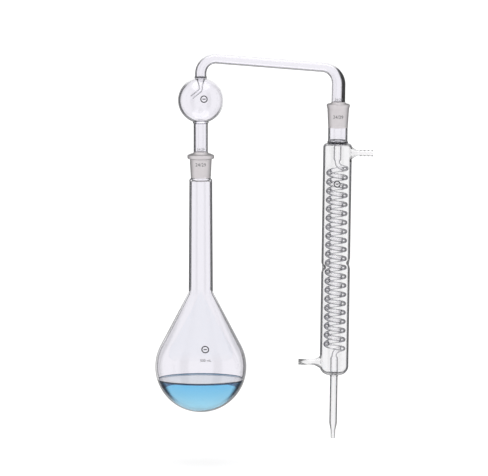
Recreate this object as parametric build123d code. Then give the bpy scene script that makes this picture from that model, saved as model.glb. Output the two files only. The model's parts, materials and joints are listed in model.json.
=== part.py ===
"""Glass distillation apparatus: long-necked flask, splash head and coil condenser.

The origin is on the flask's axis, where a stand's clamp grips the neck.  +X points to the
condenser, +Z up.  The flask and head are built straight in that frame.  The condenser is built
about its own axis, with zero at the middle of its socket's rim, and then set in place.
"""
import os
from math import cos, radians, sin, sqrt, tan

from build123d import *

# Ground joints, size 24/29: a 1 in 10 taper, 24 mm wide at the top and 29 mm long.
JOINT_RADIUS = 12.0
JOINT_LENGTH = 29.0
JOINT_SLOPE = 0.05
JOINT_CLEARANCE = 0.05
JOINT_RECESS = 1.0
CONE_WALL = 1.7
CONE_SHOULDER_RISE = 2.6
CONE_SHOULDER_EDGE = 0.8
CONE_BORE_TAPER = 1.4
CONE_BORE_FOOT = 2.2

# Flask
FLASK_BOTTOM = -230.0
FLASK_RIM = 87.0
BULB_RADIUS = 55.8
BULB_WALL = 1.8
CONE_HALF_ANGLE = 27.8
NECK_FOOT = -72.0
NECK_FOOT_RADIUS = 14.8
NECK_TOP_RADIUS = 14.05
NECK_WALL = 1.75
NECK_FILLET = 7.0
NECK_SHOULDER_FOOT = 2.4
NECK_SHOULDER_TOP = 1.0
NECK_BORE_SHOULDER_FOOT = 4.0
FLASK_SOCKET_FOOT_RADIUS = 12.2
FLASK_SOCKET_TOP_RADIUS = 13.4
FLASK_RIM_RADIUS = 16.35
FLASK_RIM_HEIGHT = 6.2
FLASK_RIM_EDGE = 1.6
FLASK_RIM_LAND = 0.6
LIQUID_DEPTH = 38.0

# Splash head
HEAD_STEM_RADIUS = 8.75
HEAD_STEM_WALL = 1.6
STEM_SEAL_RADIUS = 9.7
STEM_SEAL_FOOT = 2.4
STEM_SEAL_EDGE = 1.6
SPLASH_RADIUS = 27.75
SPLASH_WALL = 1.4
SPLASH_CENTRE = 152.5
RING_SEAL_RADIUS = 7.6
RING_SEAL_HEIGHT = 2.6
SPLASH_TUBE_TOP_RADIUS = 5.05
SPLASH_TUBE_RADIUS = 2.5
SPLASH_TUBE_WALL = 1.0
SPLASH_TAPER_LENGTH = 10.8
SPLASH_BEND_DEPTH = 14.3
SPLASH_BEND_RADIUS = 3.6
SPLASH_TIP = (-10.9, 156.2)
DELIVERY_ROOT_RADIUS = 6.9
DELIVERY_RADIUS = 5.9
DELIVERY_WALL = 1.3
DELIVERY_CREST = 204.8
DELIVERY_DROP = 0.079
FIRST_BEND_RADIUS = 18.0
SECOND_BEND_RADIUS = 20.7
LEG_RADIUS = 8.4
LEG_WALL = 1.6

# Condenser: places are depths below its rim, along its own leaning axis.
CONDENSER_X = 167.6
CONDENSER_RIM = 148.2
CONDENSER_LEAN = 0.88
CONDENSER_SOCKET_FOOT_RADIUS = 11.95
CONDENSER_SOCKET_TOP_RADIUS = 13.2
CONDENSER_LIP_RADIUS = 14.1
CONDENSER_LIP_FOOT = 6.0
CONDENSER_LIP_START = 2.8
CONDENSER_LIP_EDGE = 0.8
CONDENSER_NECK_RADIUS = 11.95
CONDENSER_NECK_WALL = 1.5
NECK_END = 46.0
TOP_SEAL_RADIUS = 12.8
TOP_SEAL_HEIGHT = 2.2
JACKET_RADIUS = 17.65
JACKET_WALL = 1.5
JACKET_END = 332.4
JACKET_TOP_ROUND = 5.0
JACKET_END_ROUND = 11.0
DIMPLE_DEPTH = 4.5
DIMPLE_TIP_RADIUS = 2.5
DIMPLE_FLARE = 0.35
ENTRY_RADIUS = 4.7
ENTRY_END = 71.0
EXIT_START = 308.6
EXIT_RADIUS = 4.6
STEM_WALL = 1.2
THROAT_LENGTH = 3.6
COIL_TURNS = 20
COIL_PITCH = 11.05
COIL_RADIUS = 10.4
COIL_TUBE_RADIUS = 3.2
COIL_WALL = 1.0
COIL_START = 79.0
COIL_LEAD = 8.0
OUTLET_DEPTH = 59.9
INLET_DEPTH = 317.2
CONNECTOR_END = 43.6
CONNECTOR_RADIUS = 3.4
CONNECTOR_BORE = 2.2
CONNECTOR_ROOT = 7.4
CONNECTOR_MOUTH = 5.2
CONNECTOR_NECK_START = 26.0
CONNECTOR_SINK = 1.8
FLARE_MIDDLE_RADIUS = 5.3
FLARE_MIDDLE_REACH = 2.6
MOUTH_DEPTH = 1.2
MOUTH_TAPER_GAP = 2.0
RIB_RADIUS = 3.85
RIB_LAND = 1.2
RIB_STARTS = (27.9, 32.5, 37.1, 41.7)
BOTTOM_SEAL_RADIUS = 6.4
BOTTOM_SEAL_HEIGHT = 1.8
DRIP_RADIUS = 4.65
DRIP_TUBE_END = 392.0
DRIP_TIP_END = 410.3
DRIP_TIP_RADIUS = 2.5
DRIP_TIP_WALL = 0.9
DRIP_WAIST_SHARE = 0.45
DRIP_WAIST_SWELL = 0.35

BULB_CENTRE = FLASK_BOTTOM + BULB_RADIUS
CONDENSER_FRAME = Location((CONDENSER_X, 0, CONDENSER_RIM), (0, CONDENSER_LEAN, 0))


def turned(outline):
    """Solid of revolution about Z from a closed outline of (radius, z, corner round)."""
    corners = [(radius, z) for radius, z, _ in outline]
    rounds = [corner_round for _, _, corner_round in outline]
    profile = FilletPolyline(*corners, radius=rounds, close=True)
    return revolve(make_face(Plane.XZ * profile), Axis.Z, 360)


def swept_tube(path, radius, wall, end_radius=None):
    """Tube along a path, with an outer radius that may change from one end to the other."""
    last_radius = end_radius or radius
    skins = []
    for inset in (0, wall):
        start = path.location_at(0) * Circle(radius - inset)
        end = path.location_at(1) * Circle(last_radius - inset)
        if end_radius is None:
            skins.append(sweep(start, path=path))
        else:
            skins.append(sweep([start, end], path=path, multisection=True))
    return skins[0] - skins[1]


# ---------------------------------------------------------------- ground joints
def ground_cone(stem_radius, stem_wall):
    """Hollow ground cone that hangs below a socket's rim at z = 0, with its shoulder above."""
    top_radius = JOINT_RADIUS - JOINT_CLEARANCE - JOINT_RECESS * JOINT_SLOPE
    foot_radius = JOINT_RADIUS - JOINT_CLEARANCE - JOINT_LENGTH * JOINT_SLOPE
    shoulder_top = CONE_SHOULDER_RISE
    return turned([
        (foot_radius - CONE_WALL, -JOINT_LENGTH, 0),
        (foot_radius, -JOINT_LENGTH, 0.6),
        (top_radius, -JOINT_RECESS, 1.2),
        (stem_radius, shoulder_top - CONE_SHOULDER_EDGE, 1.0),
        (stem_radius, shoulder_top, 0),
        (stem_radius - stem_wall, shoulder_top, 0),
        (stem_radius - stem_wall, shoulder_top - CONE_BORE_TAPER, 1.0),
        (top_radius - CONE_WALL, -JOINT_RECESS - CONE_BORE_FOOT, 1.2),
    ])


def socket_bore(depth):
    """Radius of the ground bore at a depth below the rim."""
    return JOINT_RADIUS - depth * JOINT_SLOPE


# ---------------------------------------------------------------- flask
def flask_form(inset):
    """Solid pear shape of the flask's bulb, shrunk inwards by a wall thickness."""
    lean = radians(CONE_HALF_ANGLE)
    radius = BULB_RADIUS - inset
    neck_radius = NECK_FOOT_RADIUS - inset
    tangent_radius = radius * cos(lean)
    tangent_z = BULB_CENTRE + radius * sin(lean)
    neck_z = tangent_z + (tangent_radius - neck_radius) / tan(lean)
    bowl = ThreePointArc(
        (0, BULB_CENTRE - radius),
        (radius * cos(radians(30)), BULB_CENTRE - radius * sin(radians(30))),
        (tangent_radius, tangent_z),
    )
    shoulder = FilletPolyline(
        (tangent_radius, tangent_z),
        (neck_radius, neck_z),
        (neck_radius, NECK_FOOT),
        (0, NECK_FOOT),
        (0, BULB_CENTRE - radius),
        radius=[NECK_FILLET + inset, 0, 0],
    )
    return revolve(make_face(Plane.XZ * (bowl + shoulder)), Axis.Z, 360)


def flask_bulb():
    """Blown wall of the round bottom and its conical shoulder."""
    return flask_form(0) - flask_form(BULB_WALL)


def flask_neck():
    """Tapering neck tube, closed in to the socket by a rounded shoulder."""
    top = FLASK_RIM - JOINT_LENGTH
    bore_radius = socket_bore(JOINT_LENGTH)
    foot_bore = NECK_FOOT_RADIUS - BULB_WALL
    return turned([
        (NECK_FOOT_RADIUS, NECK_FOOT, 0),
        (NECK_TOP_RADIUS, top - NECK_SHOULDER_FOOT, 2.6),
        (FLASK_SOCKET_FOOT_RADIUS, top - NECK_SHOULDER_TOP, 0.8),
        (FLASK_SOCKET_FOOT_RADIUS, top, 0),
        (bore_radius, top, 0),
        (bore_radius, top - NECK_SHOULDER_FOOT, 0.8),
        (NECK_TOP_RADIUS - NECK_WALL, top - NECK_BORE_SHOULDER_FOOT, 1.2),
        (foot_bore, NECK_FOOT, 0),
    ])


def flask_socket():
    """Ground socket with a beaded rim."""
    foot = FLASK_RIM - JOINT_LENGTH
    bead_foot = FLASK_RIM - FLASK_RIM_HEIGHT
    return turned([
        (socket_bore(JOINT_LENGTH), foot, 0),
        (FLASK_SOCKET_FOOT_RADIUS, foot, 0),
        (FLASK_SOCKET_TOP_RADIUS, bead_foot, 0.8),
        (FLASK_RIM_RADIUS, bead_foot + 0.5, 1.5),
        (FLASK_RIM_RADIUS, FLASK_RIM - FLASK_RIM_EDGE, 1.4),
        (JOINT_RADIUS + FLASK_RIM_LAND, FLASK_RIM, 0),
        (JOINT_RADIUS, FLASK_RIM, 0),
    ])


def flask_liquid():
    """Liquid that fills the bulb's round bottom."""
    surface = FLASK_BOTTOM + BULB_WALL + LIQUID_DEPTH
    above = Pos(0, 0, surface + BULB_RADIUS) * Box(4 * BULB_RADIUS, 4 * BULB_RADIUS, 2 * BULB_RADIUS)
    return Pos(0, 0, BULB_CENTRE) * Sphere(BULB_RADIUS - BULB_WALL) - above


# ---------------------------------------------------------------- splash head
STEM_TOP = SPLASH_CENTRE - sqrt(SPLASH_RADIUS**2 - STEM_SEAL_RADIUS**2)
SPLASH_TOP = SPLASH_CENTRE + sqrt(SPLASH_RADIUS**2 - RING_SEAL_RADIUS**2)
DELIVERY_START = SPLASH_TOP + RING_SEAL_HEIGHT


def head_cone():
    """Ground cone that stands in the flask's socket."""
    return Pos(0, 0, FLASK_RIM) * ground_cone(HEAD_STEM_RADIUS, HEAD_STEM_WALL)


def head_stem():
    """Stem tube with a flared seal where it meets the bulb."""
    foot = FLASK_RIM + CONE_SHOULDER_RISE
    bore_radius = HEAD_STEM_RADIUS - HEAD_STEM_WALL
    return turned([
        (bore_radius, foot, 0),
        (HEAD_STEM_RADIUS, foot, 0),
        (HEAD_STEM_RADIUS, STEM_TOP - STEM_SEAL_FOOT, 1.0),
        (STEM_SEAL_RADIUS, STEM_TOP - STEM_SEAL_EDGE, 0.5),
        (STEM_SEAL_RADIUS, STEM_TOP, 0),
        (bore_radius, STEM_TOP, 0),
    ])


def splash_bulb():
    """Round bulb, open to the stem below and to the splash tube above."""
    shell = Pos(0, 0, SPLASH_CENTRE) * (Sphere(SPLASH_RADIUS) - Sphere(SPLASH_RADIUS - SPLASH_WALL))
    height = SPLASH_TOP - STEM_TOP
    trim = Pos(0, 0, STEM_TOP + height / 2) * Box(3 * SPLASH_RADIUS, 3 * SPLASH_RADIUS, height)
    stem_hole = Pos(0, 0, STEM_TOP) * Cylinder(HEAD_STEM_RADIUS - HEAD_STEM_WALL, SPLASH_RADIUS)
    tube_hole = Pos(0, 0, SPLASH_TOP) * Cylinder(SPLASH_TUBE_TOP_RADIUS, SPLASH_WALL * 4)
    return (shell & trim) - stem_hole - tube_hole


def head_ring_seal():
    """Thick ring where the bulb, the splash tube and the delivery tube are melted together."""
    bore_radius = SPLASH_TUBE_TOP_RADIUS - SPLASH_TUBE_WALL
    return turned([
        (bore_radius, SPLASH_TOP, 0),
        (RING_SEAL_RADIUS, SPLASH_TOP, 0),
        (RING_SEAL_RADIUS, DELIVERY_START - 0.2, 0.8),
        (DELIVERY_ROOT_RADIUS, DELIVERY_START, 0),
        (bore_radius, DELIVERY_START, 0),
    ])


def splash_tube():
    """Tapering inner tube that bends aside, so that rising spray can't enter it."""
    taper_end = SPLASH_TOP - SPLASH_TAPER_LENGTH
    taper = turned([
        (SPLASH_TUBE_TOP_RADIUS - SPLASH_TUBE_WALL, SPLASH_TOP, 0),
        (SPLASH_TUBE_TOP_RADIUS, SPLASH_TOP, 0),
        (SPLASH_TUBE_RADIUS, taper_end, 0),
        (SPLASH_TUBE_RADIUS - SPLASH_TUBE_WALL, taper_end, 0),
    ])
    route = FilletPolyline(
        (0, 0, taper_end),
        (0, 0, SPLASH_TOP - SPLASH_BEND_DEPTH),
        (SPLASH_TIP[0], 0, SPLASH_TIP[1]),
        radius=SPLASH_BEND_RADIUS,
    )
    return taper + swept_tube(route, SPLASH_TUBE_RADIUS, SPLASH_TUBE_WALL)


def delivery_corners():
    """Corners of the delivery line: root, crest, and where it meets the condenser's axis."""
    up = Vector(sin(radians(CONDENSER_LEAN)), 0, cos(radians(CONDENSER_LEAN)))
    rim = Vector(CONDENSER_X, 0, CONDENSER_RIM)
    rise = (DELIVERY_CREST - DELIVERY_DROP * rim.X - rim.Z) / (up.Z + DELIVERY_DROP * up.X)
    root = Vector(0, 0, DELIVERY_START)
    crest = Vector(0, 0, DELIVERY_CREST)
    return root, crest, rim + up * rise, rim


def delivery_route():
    """Centre line from the ring seal over both bends to the end of the second bend."""
    line = FilletPolyline(*delivery_corners(), radius=[FIRST_BEND_RADIUS, SECOND_BEND_RADIUS])
    return line.edges().sort_by_distance((0, 0, DELIVERY_START))


def delivery_tube():
    """Delivery line: root, first bend, long slope, and second bend that widens to the leg."""
    root, first_bend, slope, second_bend, _ = delivery_route()
    return (
        swept_tube(Wire([root]), DELIVERY_ROOT_RADIUS, DELIVERY_WALL)
        + swept_tube(Wire([first_bend]), DELIVERY_ROOT_RADIUS, DELIVERY_WALL, DELIVERY_RADIUS)
        + swept_tube(Wire([slope]), DELIVERY_RADIUS, DELIVERY_WALL)
        + swept_tube(Wire([second_bend]), DELIVERY_RADIUS, DELIVERY_WALL, LEG_RADIUS)
    )


def delivery_leg():
    """Wide straight leg from the second bend down to the cone's shoulder."""
    leg_line = delivery_route()[-1]
    top_depth = leg_line.length
    length = top_depth - CONE_SHOULDER_RISE
    tube = Cylinder(LEG_RADIUS, length) - Cylinder(LEG_RADIUS - LEG_WALL, length)
    return CONDENSER_FRAME * Pos(0, 0, CONE_SHOULDER_RISE + length / 2) * tube


def delivery_cone():
    """Ground cone that stands in the condenser's socket."""
    return CONDENSER_FRAME * ground_cone(LEG_RADIUS, LEG_WALL)


# ---------------------------------------------------------------- condenser
def condenser_socket():
    """Ground socket with a slim flared lip."""
    return turned([
        (socket_bore(JOINT_LENGTH), -JOINT_LENGTH, 0),
        (CONDENSER_SOCKET_FOOT_RADIUS, -JOINT_LENGTH, 0),
        (CONDENSER_SOCKET_TOP_RADIUS, -CONDENSER_LIP_FOOT, 4.0),
        (CONDENSER_LIP_RADIUS, -CONDENSER_LIP_START, 1.4),
        (CONDENSER_LIP_RADIUS, -CONDENSER_LIP_EDGE, 0.7),
        (JOINT_RADIUS + CONDENSER_LIP_EDGE, 0, 0),
        (JOINT_RADIUS, 0, 0),
    ])


def condenser_neck():
    """Clear vapour neck below the socket."""
    bore_foot = CONDENSER_NECK_RADIUS - CONDENSER_NECK_WALL
    return turned([
        (CONDENSER_SOCKET_FOOT_RADIUS, -JOINT_LENGTH, 0),
        (CONDENSER_NECK_RADIUS, -NECK_END, 0),
        (bore_foot, -NECK_END, 0),
        (socket_bore(JOINT_LENGTH), -JOINT_LENGTH, 0),
    ])


def top_ring_seal():
    """Seal ring that carries the neck above, and the jacket and entry tube below."""
    bore_radius = ENTRY_RADIUS - STEM_WALL
    return turned([
        (bore_radius, -NECK_END - TOP_SEAL_HEIGHT, 0),
        (TOP_SEAL_RADIUS, -NECK_END - TOP_SEAL_HEIGHT, 0.7),
        (TOP_SEAL_RADIUS, -NECK_END, 0.9),
        (bore_radius, -NECK_END, 0),
    ])


def plain_jacket(inset):
    """Solid form of the jacket before it is dented, shrunk inwards by a wall thickness."""
    top = -NECK_END - TOP_SEAL_HEIGHT - inset
    foot = -JACKET_END + inset
    radius = JACKET_RADIUS - inset
    return turned([
        (0, foot, 0),
        (radius, foot, JACKET_END_ROUND - inset),
        (radius, top, JACKET_TOP_ROUND - inset),
        (0, top, 0),
    ])


def jacket_form(inset):
    """Solid form of the jacket with its dents, shrunk inwards by a wall thickness."""
    form = plain_jacket(inset)
    reach = JACKET_RADIUS - DIMPLE_DEPTH + DIMPLE_TIP_RADIUS
    tip = DIMPLE_TIP_RADIUS + inset
    mouth = Cone(tip, tip + JACKET_RADIUS * DIMPLE_FLARE, JACKET_RADIUS)
    dent = Sphere(tip) + Pos(JACKET_RADIUS / 2, 0, 0) * Rot(0, 90, 0) * mouth
    for side, depth in dimples():
        form -= Rot(0, 0, side) * Pos(reach, 0, -depth) * dent
    return form


def dimples():
    """Angle and depth of the two dents, each midway between two turns of the coil."""
    turn_above = COIL_TURNS // 2
    right = COIL_START + (turn_above + 0.5) * COIL_PITCH
    left = right + COIL_PITCH / 2
    return (0, right), (180, left)


def connector_flare():
    """Solid outer form of a connector's flared root, lying along Z from the jacket's axis."""
    foot = JACKET_RADIUS - CONNECTOR_SINK
    flare = ThreePointArc(
        (CONNECTOR_ROOT, foot),
        (FLARE_MIDDLE_RADIUS, JACKET_RADIUS + FLARE_MIDDLE_REACH),
        (CONNECTOR_RADIUS, CONNECTOR_NECK_START),
    )
    sides = Polyline(
        (CONNECTOR_RADIUS, CONNECTOR_NECK_START),
        (0, CONNECTOR_NECK_START),
        (0, foot - CONNECTOR_ROOT),
        (CONNECTOR_ROOT, foot - CONNECTOR_ROOT),
        (CONNECTOR_ROOT, foot),
    )
    return revolve(make_face(Plane.XZ * (flare + sides)), Axis.Z, 360)


def connector_passage():
    """Water passage through a connector, wide at the jacket and narrow in the tube."""
    start = JACKET_RADIUS - CONNECTOR_SINK - CONNECTOR_ROOT - 1
    end = CONNECTOR_END + 1
    return turned([
        (0, start, 0),
        (CONNECTOR_MOUTH, start, 0),
        (CONNECTOR_MOUTH, JACKET_RADIUS - MOUTH_DEPTH, 2.0),
        (CONNECTOR_BORE, CONNECTOR_NECK_START - MOUTH_TAPER_GAP, 6.0),
        (CONNECTOR_BORE, end, 0),
        (0, end, 0),
    ])


def connector_tube(ribbed):
    """Straight end of a connector; the ribs grip the hose."""
    length = CONNECTOR_END - CONNECTOR_NECK_START
    tube = Pos(0, 0, CONNECTOR_NECK_START + length / 2) * Cylinder(CONNECTOR_RADIUS, length)
    if not ribbed:
        return tube
    slope = 2 * (RIB_RADIUS - CONNECTOR_RADIUS)
    for start in RIB_STARTS:
        foot = start - slope
        top = min(start + RIB_LAND + slope, CONNECTOR_END)
        tube += turned([
            (0, foot, 0),
            (CONNECTOR_RADIUS, foot, 0),
            (RIB_RADIUS, start, 0),
            (RIB_RADIUS, start + RIB_LAND, 0),
            (CONNECTOR_RADIUS, top, 0),
            (0, top, 0),
        ])
    return tube


def hose_connector(side, depth, ribbed):
    """One connector, cut to the jacket's outside and bored through."""
    solid = connector_flare() + connector_tube(ribbed) - connector_passage()
    placed = Rot(0, 0, side) * Pos(0, 0, -depth) * Rot(0, 90, 0) * solid
    return placed - plain_jacket(0)


def condenser_jacket():
    """Water jacket with its dents, its two water ports and its two stem holes."""
    jacket = jacket_form(0) - jacket_form(JACKET_WALL)
    jacket -= Pos(0, 0, -NECK_END - TOP_SEAL_HEIGHT) * Cylinder(ENTRY_RADIUS, 6 * JACKET_WALL)
    jacket -= Pos(0, 0, -JACKET_END) * Cylinder(EXIT_RADIUS, 6 * JACKET_WALL)
    for side, depth in ((0, OUTLET_DEPTH), (180, INLET_DEPTH)):
        passage = Rot(0, 0, side) * Pos(0, 0, -depth) * Rot(0, 90, 0) * connector_passage()
        jacket -= passage
    return jacket


def coil_entry_tube():
    """Straight tube that narrows into the coil."""
    throat = -ENTRY_END + THROAT_LENGTH
    return turned([
        (ENTRY_RADIUS - STEM_WALL, -NECK_END - TOP_SEAL_HEIGHT, 0),
        (ENTRY_RADIUS, -NECK_END - TOP_SEAL_HEIGHT, 0),
        (ENTRY_RADIUS, throat, 2.0),
        (COIL_TUBE_RADIUS, -ENTRY_END, 0),
        (COIL_TUBE_RADIUS - COIL_WALL, -ENTRY_END, 0),
        (ENTRY_RADIUS - STEM_WALL, throat, 2.0),
    ])


def cooling_coil():
    """Helical tube whose ends swing in to the axis."""
    foot = -COIL_START - COIL_TURNS * COIL_PITCH
    helix = Pos(0, 0, foot) * Helix(COIL_PITCH, COIL_TURNS * COIL_PITCH, COIL_RADIUS, lefthand=True)
    lower, upper = helix.position_at(0), helix.position_at(1)
    along = helix.tangent_at(0)
    entry = Vector(0, 0, -ENTRY_END)
    outlet = Vector(0, 0, -EXIT_START)
    reach = Vector(0, 0, COIL_LEAD)
    lead_in = Bezier(upper, upper + along * COIL_LEAD, entry - reach, entry)
    lead_out = Bezier(outlet, outlet + reach, lower - along * COIL_LEAD, lower)
    route = Wire([lead_out.edge(), helix.edge(), lead_in.edge()])
    section = Plane(origin=route.position_at(0), z_dir=route.tangent_at(0))
    skins = [sweep(section * Circle(COIL_TUBE_RADIUS - inset), path=route) for inset in (0, COIL_WALL)]
    return skins[0] - skins[1]


def coil_exit_tube():
    """Straight tube from the coil's end to the jacket's foot."""
    throat = -EXIT_START - THROAT_LENGTH
    return turned([
        (COIL_TUBE_RADIUS - COIL_WALL, -EXIT_START, 0),
        (COIL_TUBE_RADIUS, -EXIT_START, 0),
        (EXIT_RADIUS, throat, 2.0),
        (EXIT_RADIUS, -JACKET_END, 0),
        (EXIT_RADIUS - STEM_WALL, -JACKET_END, 0),
        (EXIT_RADIUS - STEM_WALL, throat, 2.0),
    ])


def bottom_ring_seal():
    """Seal ring where the drip tube leaves the jacket."""
    foot = -JACKET_END - BOTTOM_SEAL_HEIGHT
    bore_radius = EXIT_RADIUS - STEM_WALL
    return turned([
        (bore_radius, foot, 0),
        (DRIP_RADIUS, foot, 0),
        (BOTTOM_SEAL_RADIUS, -JACKET_END, 0),
        (bore_radius, -JACKET_END, 0),
    ])


def drip_tube():
    """Straight tube below the jacket."""
    top = -JACKET_END - BOTTOM_SEAL_HEIGHT
    return turned([
        (DRIP_RADIUS, top, 0),
        (DRIP_RADIUS, -DRIP_TUBE_END, 0),
        (DRIP_RADIUS - STEM_WALL, -DRIP_TUBE_END, 0),
        (DRIP_RADIUS - STEM_WALL, top, 0),
    ])


def drip_tip():
    """Drawn-out tip of the drip tube."""
    waist = -DRIP_TUBE_END - (DRIP_TIP_END - DRIP_TUBE_END) * DRIP_WAIST_SHARE
    waist_radius = DRIP_TIP_RADIUS + DRIP_WAIST_SWELL
    return turned([
        (DRIP_RADIUS, -DRIP_TUBE_END, 0),
        (waist_radius, waist, 12.0),
        (DRIP_TIP_RADIUS, -DRIP_TIP_END, 0.3),
        (DRIP_TIP_RADIUS - DRIP_TIP_WALL, -DRIP_TIP_END, 0.3),
        (waist_radius - DRIP_TIP_WALL, waist, 12.0),
        (DRIP_RADIUS - STEM_WALL, -DRIP_TUBE_END, 0),
    ])


def water_outlet():
    """Ribbed connector near the jacket's top."""
    return hose_connector(0, OUTLET_DEPTH, ribbed=True)


def water_inlet():
    """Plain connector near the jacket's foot."""
    return hose_connector(180, INLET_DEPTH, ribbed=False)


UPRIGHT_PARTS = (
    flask_bulb, flask_neck, flask_socket, flask_liquid,
    head_cone, head_stem, splash_bulb, head_ring_seal, splash_tube,
    delivery_tube, delivery_leg, delivery_cone,
)
CONDENSER_PARTS = (
    condenser_socket, condenser_neck, top_ring_seal, condenser_jacket, water_outlet, water_inlet,
    coil_entry_tube, cooling_coil, coil_exit_tube, bottom_ring_seal, drip_tube, drip_tip,
)

os.makedirs("parts", exist_ok=True)
for part_maker in UPRIGHT_PARTS:
    export_step(part_maker(), f"parts/{part_maker.__name__}.step")
for part_maker in CONDENSER_PARTS:
    export_step(CONDENSER_FRAME * part_maker(), f"parts/{part_maker.__name__}.step")
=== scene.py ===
"""Long-necked flask, splash head and coil condenser in blown laboratory glass.

Sizes in the classes are millimetres.  Each shape is made in millimetres about its own axis and
is brought to metres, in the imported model's frame, when it becomes a piece.
"""
from __future__ import annotations

import json
import logging
import math
from dataclasses import dataclass
from enum import Enum
from typing import Callable, Iterable, Sequence

import bmesh
import bpy
from bmesh.types import BMEdge, BMFace, BMVert
from mathutils import Matrix, Vector

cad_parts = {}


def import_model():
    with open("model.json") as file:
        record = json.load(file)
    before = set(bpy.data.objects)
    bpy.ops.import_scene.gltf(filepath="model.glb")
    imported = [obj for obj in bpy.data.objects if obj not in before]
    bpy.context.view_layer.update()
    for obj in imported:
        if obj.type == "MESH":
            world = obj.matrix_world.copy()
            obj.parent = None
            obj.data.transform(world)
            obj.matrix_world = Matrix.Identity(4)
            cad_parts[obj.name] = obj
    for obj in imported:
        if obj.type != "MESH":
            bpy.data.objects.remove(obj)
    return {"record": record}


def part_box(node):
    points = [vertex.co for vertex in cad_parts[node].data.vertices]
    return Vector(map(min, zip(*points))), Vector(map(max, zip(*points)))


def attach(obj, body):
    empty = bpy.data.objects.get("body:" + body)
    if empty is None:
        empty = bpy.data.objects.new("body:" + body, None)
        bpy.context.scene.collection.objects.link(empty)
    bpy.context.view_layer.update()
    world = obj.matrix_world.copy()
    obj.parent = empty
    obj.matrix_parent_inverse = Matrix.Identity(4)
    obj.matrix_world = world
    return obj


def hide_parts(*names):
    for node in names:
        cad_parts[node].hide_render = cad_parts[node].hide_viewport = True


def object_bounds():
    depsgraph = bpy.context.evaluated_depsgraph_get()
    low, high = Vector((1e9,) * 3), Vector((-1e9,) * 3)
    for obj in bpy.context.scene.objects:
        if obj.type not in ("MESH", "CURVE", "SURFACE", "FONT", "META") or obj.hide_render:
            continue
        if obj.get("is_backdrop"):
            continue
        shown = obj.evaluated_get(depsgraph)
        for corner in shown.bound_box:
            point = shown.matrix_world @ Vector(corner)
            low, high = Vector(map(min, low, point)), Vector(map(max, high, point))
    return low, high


LOG = logging.getLogger("glassware")
MILLIMETRE = 0.001
ARC_STEP = math.radians(5.0)
HAIRLINE = 0.02  # gap between two pieces that are melted together
POLE = 1e-5  # a point this near the axis is on it
WELD = 1e-4  # points this close are one
FINE, COARSE = 1e-3, 1e-2  # slack when points are picked out by their place
GLASS_IOR = 1.474
WATER_IOR = 1.333
# The dark edge of clear glass is painted shade; this attribute sets where it is wider or narrower.
TONE = "tone"  # the attribute that widens or narrows the dark edge of clear glass

Point2 = tuple[float, float]
Corner = tuple[float, float, float]
Colour = tuple[float, float, float]
Edges = list[BMEdge]
Tone = Callable[[Vector], float]
Surface = Callable[[float, float], Vector]


def ease(share: float) -> float:
    """Make an even rise from 0 to 1 start and end gently."""
    return share * share * (3 - 2 * share)


def step(value: float, start: float, end: float) -> float:
    """Rise smoothly from 0 to 1 as a value goes from start to end."""
    return ease(min(max((value - start) / (end - start), 0.0), 1.0))


def between(first: float, second: float, share: float) -> float:
    """The number a share of the way from the first to the second."""
    return first + (second - first) * share


def stand(name: str, data: bpy.types.ID) -> bpy.types.Object:
    """Put a new object with this data in the scene."""
    made = bpy.data.objects.new(name, data)
    bpy.context.scene.collection.objects.link(made)
    return made


class Body(str, Enum):
    """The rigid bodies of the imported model."""

    FLASK = "flask"
    HEAD = "head"
    CONDENSER = "condenser"


class Slot(str, Enum):
    """The record's material slots."""

    CLEAR = "clear_glass"
    GROUND = "ground_glass"
    LIQUID = "blue_liquid"


# ---------------------------------------------------------------- outlines and routes
def arc(centre: float, radius: float, start: float, end: float) -> list[Corner]:
    """Points of an arc about a centre on the axis.

    Args:
        centre: Height of the centre.
        radius: Radius of the arc.
        start: First angle above the horizontal, in degrees.
        end: Last angle above the horizontal, in degrees.

    Returns:
        Corners with no rounding, from the first angle to the last.
    """
    steps = max(2, math.ceil(math.radians(abs(end - start)) / (ARC_STEP / 2)))
    angles = [math.radians(start + (end - start) * i / steps) for i in range(steps + 1)]
    return [(radius * math.cos(a), centre + radius * math.sin(a), 0.0) for a in angles]


@dataclass(frozen=True)
class Fillet:
    """The arc that rounds off a corner, in an outline or in space."""

    middle: Vector
    spoke: Vector
    back: Vector
    ahead: Vector
    turn: float

    @classmethod
    def fit(cls, before: Vector, corner: Vector, after: Vector, radius: float) -> Fillet:
        """Fit an arc between the two runs that meet at a corner.

        Args:
            before: A point on the run that arrives.
            corner: Where the two runs would meet.
            after: A point on the run that leaves.
            radius: Radius of the arc.

        Returns:
            Its middle, the spoke to its first point, both runs' directions and its angle.
        """
        back = (before - corner).normalized()
        ahead = (after - corner).normalized()
        half = back.angle(ahead) / 2
        middle = corner + (back + ahead).normalized() * (radius / math.sin(half))
        spoke = corner + back * (radius / math.tan(half)) - middle
        return cls(middle, spoke, back, ahead, math.pi - 2 * half)


def rounded(corners: Sequence[Corner], closed: bool) -> list[Point2]:
    """Round the corners of an outline.

    Args:
        corners: Radius, height and rounding radius of each corner.
        closed: True if the last corner joins the first.

    Returns:
        Points of the outline with an arc at each rounded corner.
    """
    count = len(corners)
    points: list[Point2] = []
    for i, (x, z, radius) in enumerate(corners):
        inner = closed or 0 < i < count - 1
        if radius <= 0.0 or not inner:
            points.append((max(x, 0.0), z))
            continue
        before, after = corners[i - 1], corners[(i + 1) % count]
        fillet = Fillet.fit(Vector(before[:2]), Vector((x, z)), Vector(after[:2]), radius)
        middle, first = fillet.middle, fillet.spoke
        side = math.copysign(1.0, first.cross(fillet.ahead))
        steps = max(1, math.ceil(fillet.turn / (ARC_STEP * 2)))
        for k in range(steps + 1):
            angle = side * fillet.turn * k / steps
            x_turned = first.x * math.cos(angle) - first.y * math.sin(angle)
            z_turned = first.x * math.sin(angle) + first.y * math.cos(angle)
            points.append((middle.x + x_turned, middle.y + z_turned))
    return points


@dataclass(frozen=True)
class Station:
    """One place on a tube's centre line and the tube's outer radius there."""

    place: Vector
    radius: float


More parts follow.
